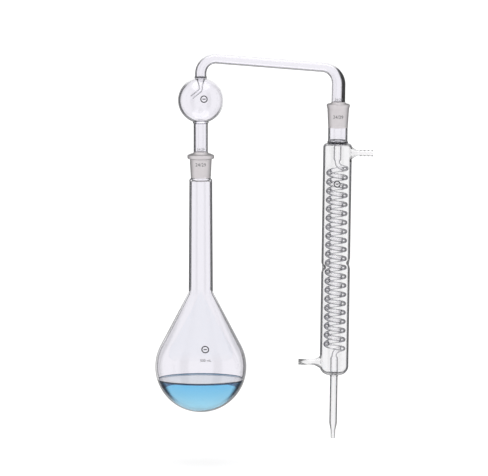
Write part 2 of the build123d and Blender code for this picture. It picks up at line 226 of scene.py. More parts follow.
def straight(start: Vector, end: Vector, radii: Point2, steps: int) -> list[Station]:
    """Stations along a straight run whose radius changes smoothly.

    Args:
        start: First point.
        end: Last point.
        radii: Radius at the start and at the end.
        steps: Number of stretches.

    Returns:
        The stations after the first point.
    """
    shares = [i / steps for i in range(1, steps + 1)]
    return [Station(start.lerp(end, s), between(*radii, ease(s))) for s in shares]


def bend(before: Vector, corner: Vector, after: Vector, radius: float,
         radii: Point2) -> list[Station]:
    """Stations round a bend between two straight runs.

    Args:
        before: A point on the run that arrives.
        corner: Where the two runs would meet.
        after: A point on the run that leaves.
        radius: Radius of the centre line.
        radii: Tube radius at the start and at the end of the bend.

    Returns:
        Stations from the bend's first point to its last.
    """
    fillet = Fillet.fit(before, corner, after, radius)
    axis = fillet.back.cross(fillet.ahead).normalized()
    steps = math.ceil(fillet.turn / ARC_STEP)
    stations = []
    for share in (i / steps for i in range(steps + 1)):
        turned = Matrix.Rotation(-fillet.turn * share, 3, axis) @ fillet.spoke
        stations.append(Station(fillet.middle + turned, between(*radii, ease(share))))
    return stations


def bezier(points: Sequence[Vector], radius: float, steps: int) -> list[Station]:
    """Stations on a cubic curve with four control points, without its two end points.

    Args:
        points: The four control points.
        radius: Tube radius.
        steps: Number of stretches.

    Returns:
        The stations between the ends.
    """
    a, b, c, d = points
    stations = []
    for t in (i / steps for i in range(1, steps)):
        s = 1 - t
        place = a * s**3 + b * (3 * s * s * t) + c * (3 * s * t * t) + d * t**3
        stations.append(Station(place, radius))
    return stations


# ---------------------------------------------------------------- shapes
class Shape:
    """A mesh in the making, in millimetres."""

    def __init__(self) -> None:
        """Start an empty mesh."""
        self.mesh = bmesh.new()

    @classmethod
    def turned(cls, corners: Sequence[Corner], segments: int) -> Shape:
        """Spin a closed outline with rounded corners into a ring of glass."""
        shape = cls()
        shape.turn(rounded(corners, closed=True), True, segments)
        return shape

    @classmethod
    def drawn(cls, stations: Sequence[Station], wall: float, segments: int) -> Shape:
        """Draw out a tube with an even wall and closed ends.

        Args:
            stations: Places and radii along the centre line.
            wall: Thickness of the wall.
            segments: Number of steps round the tube.

        Returns:
            The tube.
        """
        shape = cls()
        outer, inner = (shape.skin(stations, inset, segments) for inset in (0.0, wall))
        for ring, other in zip(outer, inner):
            shape.join(ring, other)
        return shape

    def turn(self, outline: Sequence[Point2], closed: bool, segments: int) -> list[BMFace]:
        """Spin an outline about Z.

        Args:
            outline: Points of radius and height.
            closed: True if the last point joins the first.
            segments: Number of steps round the axis.

        Returns:
            The new faces.
        """
        known = set(self.mesh.faces)
        verts = [self.mesh.verts.new((x, 0.0, z)) for x, z in outline]
        pairs = list(zip(verts, verts[1:]))
        if closed:
            pairs.append((verts[-1], verts[0]))
        edges = [self.mesh.edges.new(pair) for pair in pairs]
        bmesh.ops.spin(
            self.mesh, geom=verts + edges, cent=(0, 0, 0), axis=(0, 0, 1), dvec=(0, 0, 0),
            angle=math.tau, steps=segments, use_merge=True, use_duplicate=False,
        )
        poles = [v for v in self.mesh.verts if v.co.xy.length < POLE]
        bmesh.ops.remove_doubles(self.mesh, verts=poles, dist=WELD)
        return [f for f in self.mesh.faces if f not in known]

    def skin(self, stations: Sequence[Station], inset: float,
             segments: int) -> tuple[Edges, Edges]:
        """Grow one skin of a tube from ring to ring.

        Args:
            stations: Places and radii along the centre line.
            inset: How far the skin lies inside the outer radius.
            segments: Number of steps round the tube.

        Returns:
            The edges of the first and of the last ring.
        """
        frames = self._frames(stations)
        radii = [s.radius - inset for s in stations]
        ring = bmesh.ops.create_circle(
            self.mesh, cap_ends=False, radius=radii[0], segments=segments, matrix=frames[0])
        verts = ring["verts"]
        edges = list({e for v in verts for e in v.link_edges})
        first = edges
        for i in range(1, len(stations)):
            grown = bmesh.ops.extrude_edge_only(self.mesh, edges=edges)["geom"]
            verts = [g for g in grown if isinstance(g, BMVert)]
            fresh = set(verts)
            edges = [g for g in grown if isinstance(g, BMEdge) and set(g.verts) <= fresh]
            scale = Matrix.Scale(radii[i] / radii[i - 1], 4)
            move = frames[i] @ scale @ frames[i - 1].inverted()
            bmesh.ops.transform(self.mesh, matrix=move, verts=verts)
        return first, edges

    def paint(self, number: int, chosen: Callable[[Vector], bool]) -> None:
        """Give another finish to the faces whose middle is chosen."""
        for face in self.mesh.faces:
            if chosen(face.calc_center_median()):
                face.material_index = number

    def join(self, ring: Iterable[BMEdge], other: Iterable[BMEdge]) -> None:
        """Close the gap between two rings of edges with as many points, side by side."""
        far = {v for e in other for v in e.verts}
        grown = bmesh.ops.extrude_edge_only(self.mesh, edges=list(ring))["geom"]
        fresh = [g for g in grown if isinstance(g, BMVert)]
        mates = {v: min(far, key=lambda w: (w.co - v.co).length_squared) for v in fresh}
        bmesh.ops.weld_verts(self.mesh, targetmap=mates)

    @staticmethod
    def _frames(stations: Sequence[Station]) -> list[Matrix]:
        """Frames that follow a centre line without twisting, with Z along it."""
        places = [s.place for s in stations]
        last = len(places) - 1
        frames = []
        along = Vector((0, 0, 1))
        turn = Matrix.Identity(3)
        for i, place in enumerate(places):
            ahead = (places[min(i + 1, last)] - places[max(i - 1, 0)]).normalized()
            turn = along.rotation_difference(ahead).to_matrix() @ turn
            along = ahead
            frames.append(Matrix.Translation(place) @ turn.to_4x4())
        return frames

    def piece(self, name: str, body: Body, slot: Slot, nodes: Sequence[str],
              materials: Sequence[bpy.types.Material], place: Matrix | None = None,
              sharp: float = 50.0, tone: Tone | None = None) -> bpy.types.Object:
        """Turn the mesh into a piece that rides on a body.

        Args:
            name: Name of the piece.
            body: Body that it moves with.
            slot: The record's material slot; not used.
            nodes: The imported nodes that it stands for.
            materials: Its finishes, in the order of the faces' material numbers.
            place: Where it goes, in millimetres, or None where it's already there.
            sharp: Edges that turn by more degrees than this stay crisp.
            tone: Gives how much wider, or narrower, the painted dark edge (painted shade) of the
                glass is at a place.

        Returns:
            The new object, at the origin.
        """
        matrix = Matrix.Scale(MILLIMETRE, 4) @ (place or Matrix.Identity(4))
        bmesh.ops.recalc_face_normals(self.mesh, faces=self.mesh.faces)
        if tone is not None:
            layer = self.mesh.verts.layers.float.new(TONE)
            for vert in self.mesh.verts:
                vert[layer] = tone(vert.co)
        bmesh.ops.transform(self.mesh, matrix=matrix, verts=self.mesh.verts)
        data = bpy.data.meshes.new(name)
        self.mesh.to_mesh(data)
        self.mesh.free()
        data.shade_smooth()
        data.set_sharp_from_angle(angle=math.radians(sharp))
        for material in materials:
            data.materials.append(material)
        made = stand(name, data)
        made.visible_shadow = False
        if nodes:
            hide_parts(*nodes)
        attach(made, body.value)
        LOG.info("%s rides on %s with %d faces", name, body.value, len(data.polygons))
        return made


# ---------------------------------------------------------------- finishes
def variation_group() -> bpy.types.ShaderNodeTree:
    """Node group for the slow waves and fine grain of a blown or ground surface.

    Returns:
        A group that takes Object coordinates and gives Wave and Grain from 0 to 1.
    """
    name = "surface_variation"
    if name in bpy.data.node_groups:
        return bpy.data.node_groups[name]
    group = bpy.data.node_groups.new(name, "ShaderNodeTree")
    for socket, way, kind in (("Vector", "INPUT", "Vector"), ("Wave Scale", "INPUT", "Float"),
                              ("Grain Scale", "INPUT", "Float"), ("Wave", "OUTPUT", "Float"),
                              ("Grain", "OUTPUT", "Float")):
        group.interface.new_socket(socket, in_out=way, socket_type=f"NodeSocket{kind}")
    entry = group.nodes.new("NodeGroupInput")
    leave = group.nodes.new("NodeGroupOutput")
    for scale, result, detail in (("Wave Scale", "Wave", 1.0), ("Grain Scale", "Grain", 4.0)):
        noise = group.nodes.new("ShaderNodeTexNoise")
        noise.inputs["Detail"].default_value = detail
        group.links.new(entry.outputs["Vector"], noise.inputs["Vector"])
        group.links.new(entry.outputs[scale], noise.inputs["Scale"])
        group.links.new(noise.outputs["Fac"], leave.inputs[result])
    return group


class Layout:
    """Short ways to lay out the nodes of a tree."""

    def __init__(self, tree: bpy.types.NodeTree) -> None:
        """Work on a tree."""
        self.tree = tree

    def add(self, kind: str, **inputs: object) -> bpy.types.Node:
        """Add a node and set or link its inputs by name, with _ for a space."""
        node = self.tree.nodes.new(kind)
        for key, value in inputs.items():
            self.feed(node.inputs[key.replace("_", " ")], value)
        return node

    def feed(self, socket: bpy.types.NodeSocket, value: object) -> None:
        """Link a socket to another, or set its plain value."""
        if isinstance(value, bpy.types.NodeSocket):
            self.tree.links.new(value, socket)
        else:
            socket.default_value = value

    def reckon(self, operation: str, first: object, second: object = 0.0) -> bpy.types.NodeSocket:
        """Place one step of arithmetic."""
        node = self.add("ShaderNodeMath")
        node.operation = operation
        for socket, value in zip(node.inputs, (first, second)):
            self.feed(socket, value)
        return node.outputs["Value"]

    def spread(self, value: object, low: float, high: float, start: float = 0.0,
               end: float = 1.0) -> bpy.types.NodeSocket:
        """Map a value smoothly from start..end to low..high."""
        node = self.add("ShaderNodeMapRange", Value=value, From_Min=start, From_Max=end,
                        To_Min=low, To_Max=high)
        node.interpolation_type = "SMOOTHSTEP"
        return node.outputs["Result"]

    def blend(self, share: object, first: object, second: object) -> bpy.types.NodeSocket:
        """Mix two colours."""
        node = self.tree.nodes.new("ShaderNodeMix")
        node.data_type = "RGBA"
        colours = [s for s in node.inputs if s.type == "RGBA"]
        self.feed(node.inputs["Factor"], share)
        for socket, value in zip(colours, (first, second)):
            self.feed(socket, (*value, 1.0) if isinstance(value, tuple) else value)
        return next(s for s in node.outputs if s.type == "RGBA")


class Nodes(Layout):
    """The nodes of one material, round its Principled shader."""

    def __init__(self, name: str) -> None:
        """Start a material with a Principled shader."""
        self.material = bpy.data.materials.new(name)
        self.material.use_nodes = True
        super().__init__(self.material.node_tree)
        self.shader = self.tree.nodes["Principled BSDF"]

    def variation(self, wave_scale: float, grain_scale: float = 0.0) -> bpy.types.Node:
        """Place the shared surface variation on Object coordinates."""
        where = self.add("ShaderNodeTexCoord")
        group = self.add("ShaderNodeGroup")
        group.node_tree = variation_group()
        self.feed(group.inputs["Vector"], where.outputs["Object"])
        self.feed(group.inputs["Wave Scale"], wave_scale)
        self.feed(group.inputs["Grain Scale"], grain_scale)
        return group

    def facing(self) -> bpy.types.NodeSocket:
        """How far a surface turns away, from 0 face on to 1 edge on."""
        return self.add("ShaderNodeLayerWeight", Blend=0.5).outputs["Facing"]

    def dress(self, **inputs: object) -> None:
        """Set or link the shader's inputs by name, with _ for a space."""
        for key, value in inputs.items():
            self.feed(self.shader.inputs[key.replace("_", " ")], value)

    def relief(self, height: object, strength: float, depth: float) -> None:
        """Give the shader a bump of some depth in metres."""
        bump = self.add("ShaderNodeBump", Strength=strength, Distance=depth, Height=height)
        self.dress(Normal=bump.outputs["Normal"])


@dataclass(frozen=True)
class ClearGlass:
    """Drawn or blown borosilicate glass, with painted shade: its colour goes dark where its wall
    is seen edge on.
    """

    name: str
    shade_start: float
    shade_end: float
    clear: Colour = (0.976, 0.966, 1.0)
    dim: Colour = (0.970, 0.960, 0.996)
    # edge: colour of the painted shade where the wall is seen edge on
    edge: Colour = (0.003, 0.003, 0.005)
    wave_scale: float = 38.0
    wave_strength: float = 0.2
    wave_depth: float = 0.0003

    def make(self) -> bpy.types.Material:
        """Build the material."""
        n = Nodes(self.name)
        wave = n.variation(self.wave_scale).outputs["Wave"]
        shift = n.add("ShaderNodeAttribute")
        shift.attribute_name = TONE
        # Painted shade: the colour turns to the edge colour as the surface turns edge on, and the
        # tone attribute widens or narrows that band.
        facing = n.reckon("ADD", n.facing(), shift.outputs["Fac"])
        share = n.spread(facing, 0.0, 1.0, self.shade_start, self.shade_end)
        body = n.blend(wave, self.clear, self.dim)
        n.dress(Base_Color=n.blend(share, body, self.edge), Roughness=0.0, IOR=GLASS_IOR,
                Transmission_Weight=1.0)
        n.relief(wave, self.wave_strength, self.wave_depth)
        return n.material


@dataclass(frozen=True)
class GroundGlass:
    """Glass ground matt for a tapered joint, with painted shade: darker grey where it is seen edge
    on.
    """

    name: str
    light: Colour = (0.995, 0.950, 0.968)
    dark: Colour = (0.955, 0.910, 0.930)
    edge: Colour = (0.23, 0.22, 0.225)
    shade_start: float = 0.12
    shade_end: float = 0.75
    roughness: Point2 = (0.42, 0.62)
    transmission: float = 0.45
    wave_scale: float = 90.0
    grain_scale: float = 2600.0
    grain_strength: float = 0.35
    grain_depth: float = 0.0001

    def make(self) -> bpy.types.Material:
        """Build the material."""
        n = Nodes(self.name)
        surface = n.variation(self.wave_scale, self.grain_scale)
        # Painted shade: the colour turns to the edge grey as the surface turns edge on.
        share = n.spread(n.facing(), 0.0, 1.0, self.shade_start, self.shade_end)
        body = n.blend(surface.outputs["Wave"], self.light, self.dark)
        n.dress(Base_Color=n.blend(share, body, self.edge),
                Roughness=n.spread(surface.outputs["Grain"], *self.roughness),
                IOR=GLASS_IOR, Transmission_Weight=self.transmission)
        n.relief(surface.outputs["Grain"], self.grain_strength, self.grain_depth)
        return n.material


@dataclass(frozen=True)
class BlueLiquid:
    """Clear blue solution, lighter towards the bottom of the bulb, with painted shade: dark navy
    crescents where its skin is seen edge on, stronger higher up.
    """

    name: str
    low: float
    high: float
    bottom: Colour = (0.57, 0.97, 1.0)
    top: Colour = (0.20, 0.66, 0.97)
    edge: Colour = (0.004, 0.03, 0.08)
    shade_start: float = 0.20
    shade_end: float = 0.225
    edge_least: float = 0.12
    edge_rise: Point2 = (0.15, 0.75)
    wave_scale: float = 25.0
    wave_strength: float = 0.1
    wave_depth: float = 0.0002

    def make(self) -> bpy.types.Material:
        """Build the material."""
        n = Nodes(self.name)
        wave = n.variation(self.wave_scale).outputs["Wave"]
        where = n.add("ShaderNodeTexCoord")
        apart = n.add("ShaderNodeSeparateXYZ", Vector=where.outputs["Object"])
        height = n.spread(apart.outputs["Z"], 0.0, 1.0, self.low, self.high)
        # Painted shade: navy crescents where the skin turns edge on, faint low in the bulb and
        # full higher up.
        grazing = n.spread(n.facing(), 0.0, 1.0, self.shade_start, self.shade_end)
        rise = n.spread(height, self.edge_least, 1.0, *self.edge_rise)
        body = n.blend(height, self.bottom, self.top)
        n.dress(Base_Color=n.blend(n.reckon("MULTIPLY", grazing, rise), body, self.edge),
                Roughness=0.0, IOR=WATER_IOR, Transmission_Weight=1.0)
        n.relief(wave, self.wave_strength, self.wave_depth)
        return n.material


@dataclass(frozen=True)
class LiquidSurface:
    """A zone of the liquid's skin, which shows the depth below it unless seen at a low angle,
    where it takes a painted tint: painted reflection on the open surface, painted shade at the
    rim.
    """

    name: str
    light: Colour
    dark: Colour
    deep: Colour
    transmission: float
    low_angle: Point2 = (0.55, 0.82)
    roughness: float = 0.02
    wave_scale: float = 30.0
    wave_strength: float = 0.1
    wave_depth: float = 0.0002

    def make(self) -> bpy.types.Material:
        """Build the material."""
        n = Nodes(self.name)
        wave = n.variation(self.wave_scale).outputs["Wave"]
        tint = n.blend(wave, self.light, self.dark)
        # Painted light: at a low angle the colour turns from the depth below to the zone's painted
        # tint.
        low_angle = n.spread(n.facing(), 0.0, 1.0, *self.low_angle)
        n.dress(Base_Color=n.blend(low_angle, self.deep, tint), Roughness=self.roughness,
                IOR=WATER_IOR, Transmission_Weight=self.transmission)
        n.relief(wave, self.wave_strength, self.wave_depth)
        return n.material


@dataclass(frozen=True)
class Enamel:
    """Fired marking enamel, slightly patchy."""

    name: str
    dark: Colour = (0.012, 0.012, 0.016)
    worn: Colour = (0.035, 0.036, 0.042)
    roughness: Point2 = (0.35, 0.6)
    wave_scale: float = 700.0
    grain_scale: float = 5000.0
    grain_strength: float = 0.4
    grain_depth: float = 0.00003

    def make(self) -> bpy.types.Material:
        """Build the material."""
        n = Nodes(self.name)
        surface = n.variation(self.wave_scale, self.grain_scale)
        n.dress(Base_Color=n.blend(surface.outputs["Wave"], self.dark, self.worn),
                Roughness=n.spread(surface.outputs["Grain"], *self.roughness))
        n.relief(surface.outputs["Grain"], self.grain_strength, self.grain_depth)
        return n.material


@dataclass(frozen=True)
class Finishes:
    """Every finish of the set, each built once."""

    bulb: bpy.types.Material
    small_bulb: bpy.types.Material
    jacket: bpy.types.Material
    neck: bpy.types.Material
    stem: bpy.types.Material
    tube: bpy.types.Material
    coil: bpy.types.Material
    seal: bpy.types.Material
    dark_seal: bpy.types.Material
    ground: bpy.types.Material
    mark: bpy.types.Material
    faint_mark: bpy.types.Material

    @classmethod
    def build(cls) -> Finishes:
        """Make the finishes; thinner tubes show a wider painted dark edge, which is painted shade,
        for their size.
        """
        light, pale = (0.999, 0.997, 1.0), (0.994, 0.991, 1.0)
        soft_edge_shade = (0.02, 0.02, 0.03)
        # Seal colours are painted shade: the dark grey look of thick seal glass, painted into
        # clear glass.
        seal_shade = ((0.22, 0.22, 0.25), (0.15, 0.15, 0.18), (0.01, 0.01, 0.02))
        dark_seal_shade = ((0.03, 0.03, 0.035), (0.02, 0.02, 0.025), (0.005, 0.005, 0.01))
        return cls(
            bulb=ClearGlass("clear_glass_bulb", 0.70, 0.79).make(),
            small_bulb=ClearGlass("clear_glass_small_bulb", 0.64, 0.76).make(),
            jacket=ClearGlass("clear_glass_jacket", 0.54, 0.66, light, pale).make(),
            neck=ClearGlass("clear_glass_neck", 0.47, 0.60).make(),
            stem=ClearGlass("clear_glass_stem", 0.36, 0.56).make(),
            tube=ClearGlass("clear_glass_tube", 0.30, 0.50, light, pale).make(),
            coil=ClearGlass("clear_glass_coil", 0.36, 0.58, light, pale, soft_edge_shade).make(),
            seal=ClearGlass("melted_seal", 0.25, 0.55, *seal_shade).make(),
            dark_seal=ClearGlass("melted_dark_seal", 0.25, 0.55, *dark_seal_shade).make(),
            ground=GroundGlass("ground_glass").make(),
            mark=Enamel("black_enamel").make(),
            faint_mark=Enamel("grey_enamel", (0.13, 0.13, 0.14), (0.24, 0.24, 0.25)).make(),
        )


# ---------------------------------------------------------------- ground joints
@dataclass(frozen=True)
class GroundJoint:
    """Standard taper, with its rim at height 0 and its foot below."""

    label: str = "24/29"
    radius: float = 12.0
    length: float = 29.0
    slope: float = 0.05
    clearance: float = 0.05
    recess: float = 1.0
    cone_wall: float = 1.7
    shoulder: float = 2.6
    segments: int = 96

    def bore(self, depth: float) -> float:
        """Radius of the socket's bore at a depth below its rim."""
        return self.radius - depth * self.slope

    def cone(self, stem: float, wall: float) -> Shape:
        """Make the hollow cone with its shoulder.

        Args:
            stem: Outer radius of the tube above the shoulder.
            wall: Wall of that tube.

        Returns:
            The shape, with the socket's rim at height 0.
        """
        top = self.bore(self.recess) - self.clearance
        foot = self.bore(self.length) - self.clearance
        outline = [
            (foot - self.cone_wall, -self.length + HAIRLINE, 0.5),
            (foot, -self.length + HAIRLINE, 0.6),
            (top, -self.recess, 1.2),
            (stem, self.shoulder - 0.8, 1.0),
            (stem, self.shoulder - HAIRLINE, 0.0),
            (stem - wall, self.shoulder - HAIRLINE, 0.0),
            (stem - wall, self.shoulder - 1.4, 1.0),
            (top - self.cone_wall, -self.recess - 2.2, 1.2),
        ]
        return Shape.turned(outline, self.segments)

    def socket(self, foot: float, body: Sequence[Corner]) -> Shape:
        """Make a socket round the ground bore.

        Args:
            foot: Outer radius at the foot.
            body: Corners of the outside, from just above the foot to the rim.

        Returns:
            The shape, with its rim at height 0.
        """
        start = self.bore(self.length)
        outline = [(start, -self.length, 0.0), (foot, -self.length, 0.0), *body,
                   (self.radius, 0.0, 0.2)]
        return Shape.turned(outline, self.segments)


# ---------------------------------------------------------------- marks
@dataclass(frozen=True)
class Marks:
    """Enamel marks that lie on a round surface."""

    thickness: float = 0.08
    lift: float = 0.03
    sharp: float = 30.0
    figure_share: float = 0.7  # height of a figure over the font's size
    ring: Point2 = (0.5, 0.36)  # radii over the emblem's size
    bar: Point2 = (0.44, 0.13)  # sides over the emblem's size
    nudge: float = 0.01

    def text(self, words: str, height: float) -> Shape:
        """Lay out generic numbers as a flat solid in XZ, centred on the origin.

        Args:
            words: What it says.
            height: Height of the letters.

        Returns:
            The shape, facing -Y.
        """
        curve = bpy.data.curves.new("lettering", "FONT")
        curve.body = words
        curve.size = height / self.figure_share
        curve.align_x = "CENTER"
        curve.align_y = "CENTER"
        carrier = stand("lettering", curve)
        flat = bpy.data.meshes.new_from_object(carrier)
        bpy.data.objects.remove(carrier)
        bpy.data.curves.remove(curve)
        shape = Shape()
        shape.mesh.from_mesh(flat)
        bpy.data.meshes.remove(flat)
        upright = Matrix.Rotation(math.pi / 2, 3, "X")
        bmesh.ops.rotate(shape.mesh, cent=(0, 0, 0), matrix=upright, verts=shape.mesh.verts)
        return shape

    def emblem(self, size: float) -> Shape:
        """Lay out a plain ring with a bar across it as a flat shape in XZ.

        Args:
            size: Outer diameter.

        Returns:
            The shape, facing -Y.
        """
        shape = Shape()
        upright = Matrix.Rotation(math.pi / 2, 4, "X")
        rings = []
        for share in self.ring:
            ring = bmesh.ops.create_circle(
                shape.mesh, cap_ends=False, radius=size * share, segments=40, matrix=upright)
            rings.append(list({e for v in ring["verts"] for e in v.link_edges}))
        shape.join(rings[0], rings[1])
        bmesh.ops.create_grid(
            shape.mesh, x_segments=4, y_segments=2, size=0.5,
            matrix=upright @ Matrix.Diagonal((size * self.bar[0], size * self.bar[1], 1, 1)))
        return shape

    def wrap(self, shape: Shape, surface: Surface) -> Shape:
        """Give a flat shape thickness and lay it on a round surface.

        Args:
            shape: The flat shape, facing -Y.
            surface: Gives the point on the surface for a flat place.

        Returns:
            The same shape, wrapped.
        """
        mesh = shape.mesh
        grown = bmesh.ops.extrude_face_region(mesh, geom=list(mesh.faces))["geom"]
        outer = {v for v in grown if isinstance(v, BMVert)}
        for vert in mesh.verts:
            x, z = vert.co.x, vert.co.z
            base = surface(x, z)
            along = surface(x + self.nudge, z) - base
            across = surface(x, z + self.nudge) - base
            outward = along.cross(across).normalized()
            rise = self.lift + (self.thickness if vert in outer else 0.0)
            vert.co = base + outward * rise
        return shape

    def lay(self, name: str, shape: Shape, surface: Surface, body: Body, slot: Slot,
            finish: bpy.types.Material, place: Matrix) -> None:
        """Make a flat shape a mark on a round surface.

        Args:
            name: Name of the piece.
            shape: The flat shape, facing -Y.
            surface: Gives the point on the surface for a flat place.
            body: Body that it moves with.
            slot: The record's material slot.
            finish: Its enamel.
            place: Where the surface is, in millimetres.
        """
        self.wrap(shape, surface).piece(name, body, slot, [], [finish], place, sharp=self.sharp)


def from_front(radius: float, angle: float, height: float) -> Vector:
    """The point at an angle round the axis, counted from the front."""
    return Vector((radius * math.sin(angle), -radius * math.cos(angle), height))


def on_cylinder(radius: float, height: float) -> Surface:
    """A surface function for the front of an upright cylinder."""
    return lambda x, z: from_front(radius, x / radius, height + z)


def on_sphere(radius: float, centre: float, height: float) -> Surface:
    """A surface function for the front of a sphere, about a height on it."""
    lift = math.asin((height - centre) / radius)

    def place(x: float, z: float) -> Vector:
        """Point of the sphere for a flat place."""
        rise = lift + z / radius
        angle = x / (radius * math.cos(lift))
        return from_front(radius * math.cos(rise), angle, centre + radius * math.sin(rise))

    return place


def on_cone(tangent: Point2, lean: float, height: float) -> Surface:
    """A surface function for the front of a cone that leans in from a tangent point."""

    def place(x: float, z: float) -> Vector:
        """Point of the cone for a flat place."""
        at = height + z * math.cos(lean)
        reach = tangent[0] - (at - tangent[1]) * math.tan(lean)
        return from_front(reach, x / reach, at)

    return place


# ---------------------------------------------------------------- flask
@dataclass
class Flask:
    """Long-necked round flask with its ground socket and its liquid."""

    finishes: Finishes
    joint: GroundJoint
    bottom: float
    rim: float
    radius: float
    wall: float = 1.8
    half_angle: float = 27.8
    neck_foot: float = -72.0
    neck_foot_radius: float = 14.8
    neck_top_radius: float = 14.05
    neck_wall: float = 1.75
    neck_fillet: float = 7.0
    socket_foot: float = 12.2
    socket_top: float = 13.4
    bead_radius: float = 16.35
    bead_height: float = 6.2
    liquid_depth: float = 38.0
    meniscus: float = 1.3
    meniscus_reach: float = 9.0
    meniscus_fall: float = 1.6
    meniscus_rings: int = 12
    ring_crowding: float = 1.6
    flat_rings: tuple[float, ...] = (0.7, 0.45, 0.2, 0.0)
    liquid_overlap: float = 1.2
    # Painted shade: the bulb's dark edge widens towards the condenser and narrows opposite,
    # blended over edge_blend.
    edge_lean: float = 0.06
    edge_blend: float = 10.0
    mark_turn: float = 6.5
    emblem_height: float = -147.5
    capacity_height: float = -160.5

    @property
    def centre(self) -> float:
        """Height of the bulb's centre."""
        return self.bottom + self.radius

    def _tangent(self, radius: float) -> Point2:
        """Radius and height where a bowl of this radius goes over into its cone."""
        lean = math.radians(self.half_angle)
        return radius * math.cos(lean), self.centre + radius * math.sin(lean)

    def _side(self, inset: float) -> list[Corner]:
        """Outline from the bottom pole to the foot of the neck, shrunk by a wall."""
        radius = self.radius - inset
        lean = math.radians(self.half_angle)
        neck = self.neck_foot_radius - inset
        tangent = self._tangent(radius)
        neck_z = tangent[1] + (tangent[0] - neck) / math.tan(lean)
        bowl = arc(self.centre, radius, -90.0, self.half_angle)
        return bowl + [(neck, neck_z, self.neck_fillet + inset), (neck, self.neck_foot, 0.0)]

    def build_glass(self) -> None:
        """Make the bulb and neck as one wall of glass."""
        top = self.rim - self.joint.length - HAIRLINE
        bore = self.joint.bore(self.joint.length)
        outside = self._side(0.0) + [
            (self.neck_top_radius, top - 2.4, 2.6),
            (self.socket_foot, top - 1.0, 0.8),
            (self.socket_foot, top, 0.0),
        ]
        inside = self._side(self.wall) + [
            (self.neck_top_radius - self.neck_wall, top - 4.0, 1.2),
            (bore, top - 2.4, 0.8),
            (bore, top, 0.0),
        ]
        shape = Shape()
        shape.turn(rounded(outside + inside[::-1], closed=False), False, 128)
        shape.paint(1, lambda place: place.z > self.neck_foot - self.neck_fillet)
        shape.piece("flask_body", Body.FLASK, Slot.CLEAR, ["flask_bulb", "flask_neck"],
                    [self.finishes.bulb, self.finishes.neck], tone=self._edge_tone)

    def _edge_tone(self, place: Vector) -> float:
        """Widen the painted dark edge (painted shade) on the condenser's side of the bulb, and
        narrow it opposite.
        """
        side = step(place.x, -self.edge_blend, self.edge_blend) - 0.5
        below = step(-place.z, -self.neck_foot, self.edge_blend - self.neck_foot)
        return self.edge_lean * side * below

    def build_socket(self) -> None:
        """Make the ground socket with its beaded rim."""
        foot = -self.bead_height
        body = [
            (self.socket_top, foot, 0.8),
            (self.bead_radius, foot + 0.5, 1.5),
            (self.bead_radius, -1.6, 1.4),
            (self.joint.radius + 0.6, 0.0, 0.4),
        ]
        shape = self.joint.socket(self.socket_foot, body)
        shape.piece("flask_socket_ground", Body.FLASK, Slot.GROUND, ["flask_socket"],
                    [self.finishes.ground], Matrix.Translation((0, 0, self.rim)))

    def build_liquid(self) -> None:
        """Make the liquid, which climbs a little where it wets the glass."""
        radius = self.radius - self.wall + self.liquid_overlap
        level = self.bottom + self.wall + self.liquid_depth
        contact = math.degrees(math.asin((level + self.meniscus - self.centre) / radius))
        outline = [(x, z) for x, z, _ in arc(self.centre, radius, -90.0, contact)]
        edge = outline[-1][0]
        for i in range(1, self.meniscus_rings + 1):
            gap = (i / self.meniscus_rings) ** self.ring_crowding * self.meniscus_reach
            climb = self.meniscus * math.exp(-gap / self.meniscus_fall)
            outline.append((edge - gap, level + climb))
        outline += [(edge * share, level) for share in self.flat_rings]
        shape = Shape()
        shape.turn(outline, False, 128)
        # Zone 1, the open surface, turns pale at a low angle as a painted reflection; zone 2, the
        # rim along the glass, is painted navy as painted shade.
        shape.paint(1, lambda place: place.z > level - 0.2)
        shape.paint(2, lambda place: place.z > level - 0.9 and place.xy.length > edge - 0.9)
        low = (self.bottom + self.wall) * MILLIMETRE
        pale, lilac, sky = (0.93, 0.94, 0.985), (0.88, 0.905, 0.97), (0.26, 0.68, 0.95)
        navy, ink = (0.02, 0.06, 0.16), (0.01, 0.03, 0.10)
        finishes = (
            BlueLiquid("blue_solution", low=low, high=level * MILLIMETRE),
            LiquidSurface("blue_solution_surface", pale, lilac, sky, transmission=0.2),
            LiquidSurface("blue_solution_edge", navy, ink, navy, transmission=0.8),
        )
        shape.piece("flask_charge", Body.FLASK, Slot.LIQUID, ["flask_liquid"],
                    [finish.make() for finish in finishes])

    def build_marks(self, marks: Marks) -> None:
        """Lay the marks on the socket and on the cone of the bulb."""
        lean = math.radians(self.half_angle)
        tangent = self._tangent(self.radius)
        aside = Matrix.Rotation(math.radians(self.mark_turn), 4, "Z")
        for name, shape, height in (
            ("flask_emblem", marks.emblem(9.6), self.emblem_height),
            ("flask_capacity_mark", marks.text("500 mL", 3.2), self.capacity_height),
        ):
            surface = (on_cone(tangent, lean, height) if height > tangent[1]
                       else on_sphere(self.radius, self.centre, height))
            marks.lay(name, shape, surface, Body.FLASK, Slot.CLEAR, self.finishes.mark, aside)
        marks.lay("flask_joint_mark", marks.text(self.joint.label, 4.2), on_cylinder(13.15, 0.0),
                  Body.FLASK, Slot.GROUND, self.finishes.faint_mark,
                  Matrix.Translation((0, 0, self.rim - 12.5)))

    def build(self, marks: Marks) -> None:
        """Make every piece of the flask."""
        self.build_glass()
        self.build_socket()
        self.build_liquid()
        self.build_marks(marks)


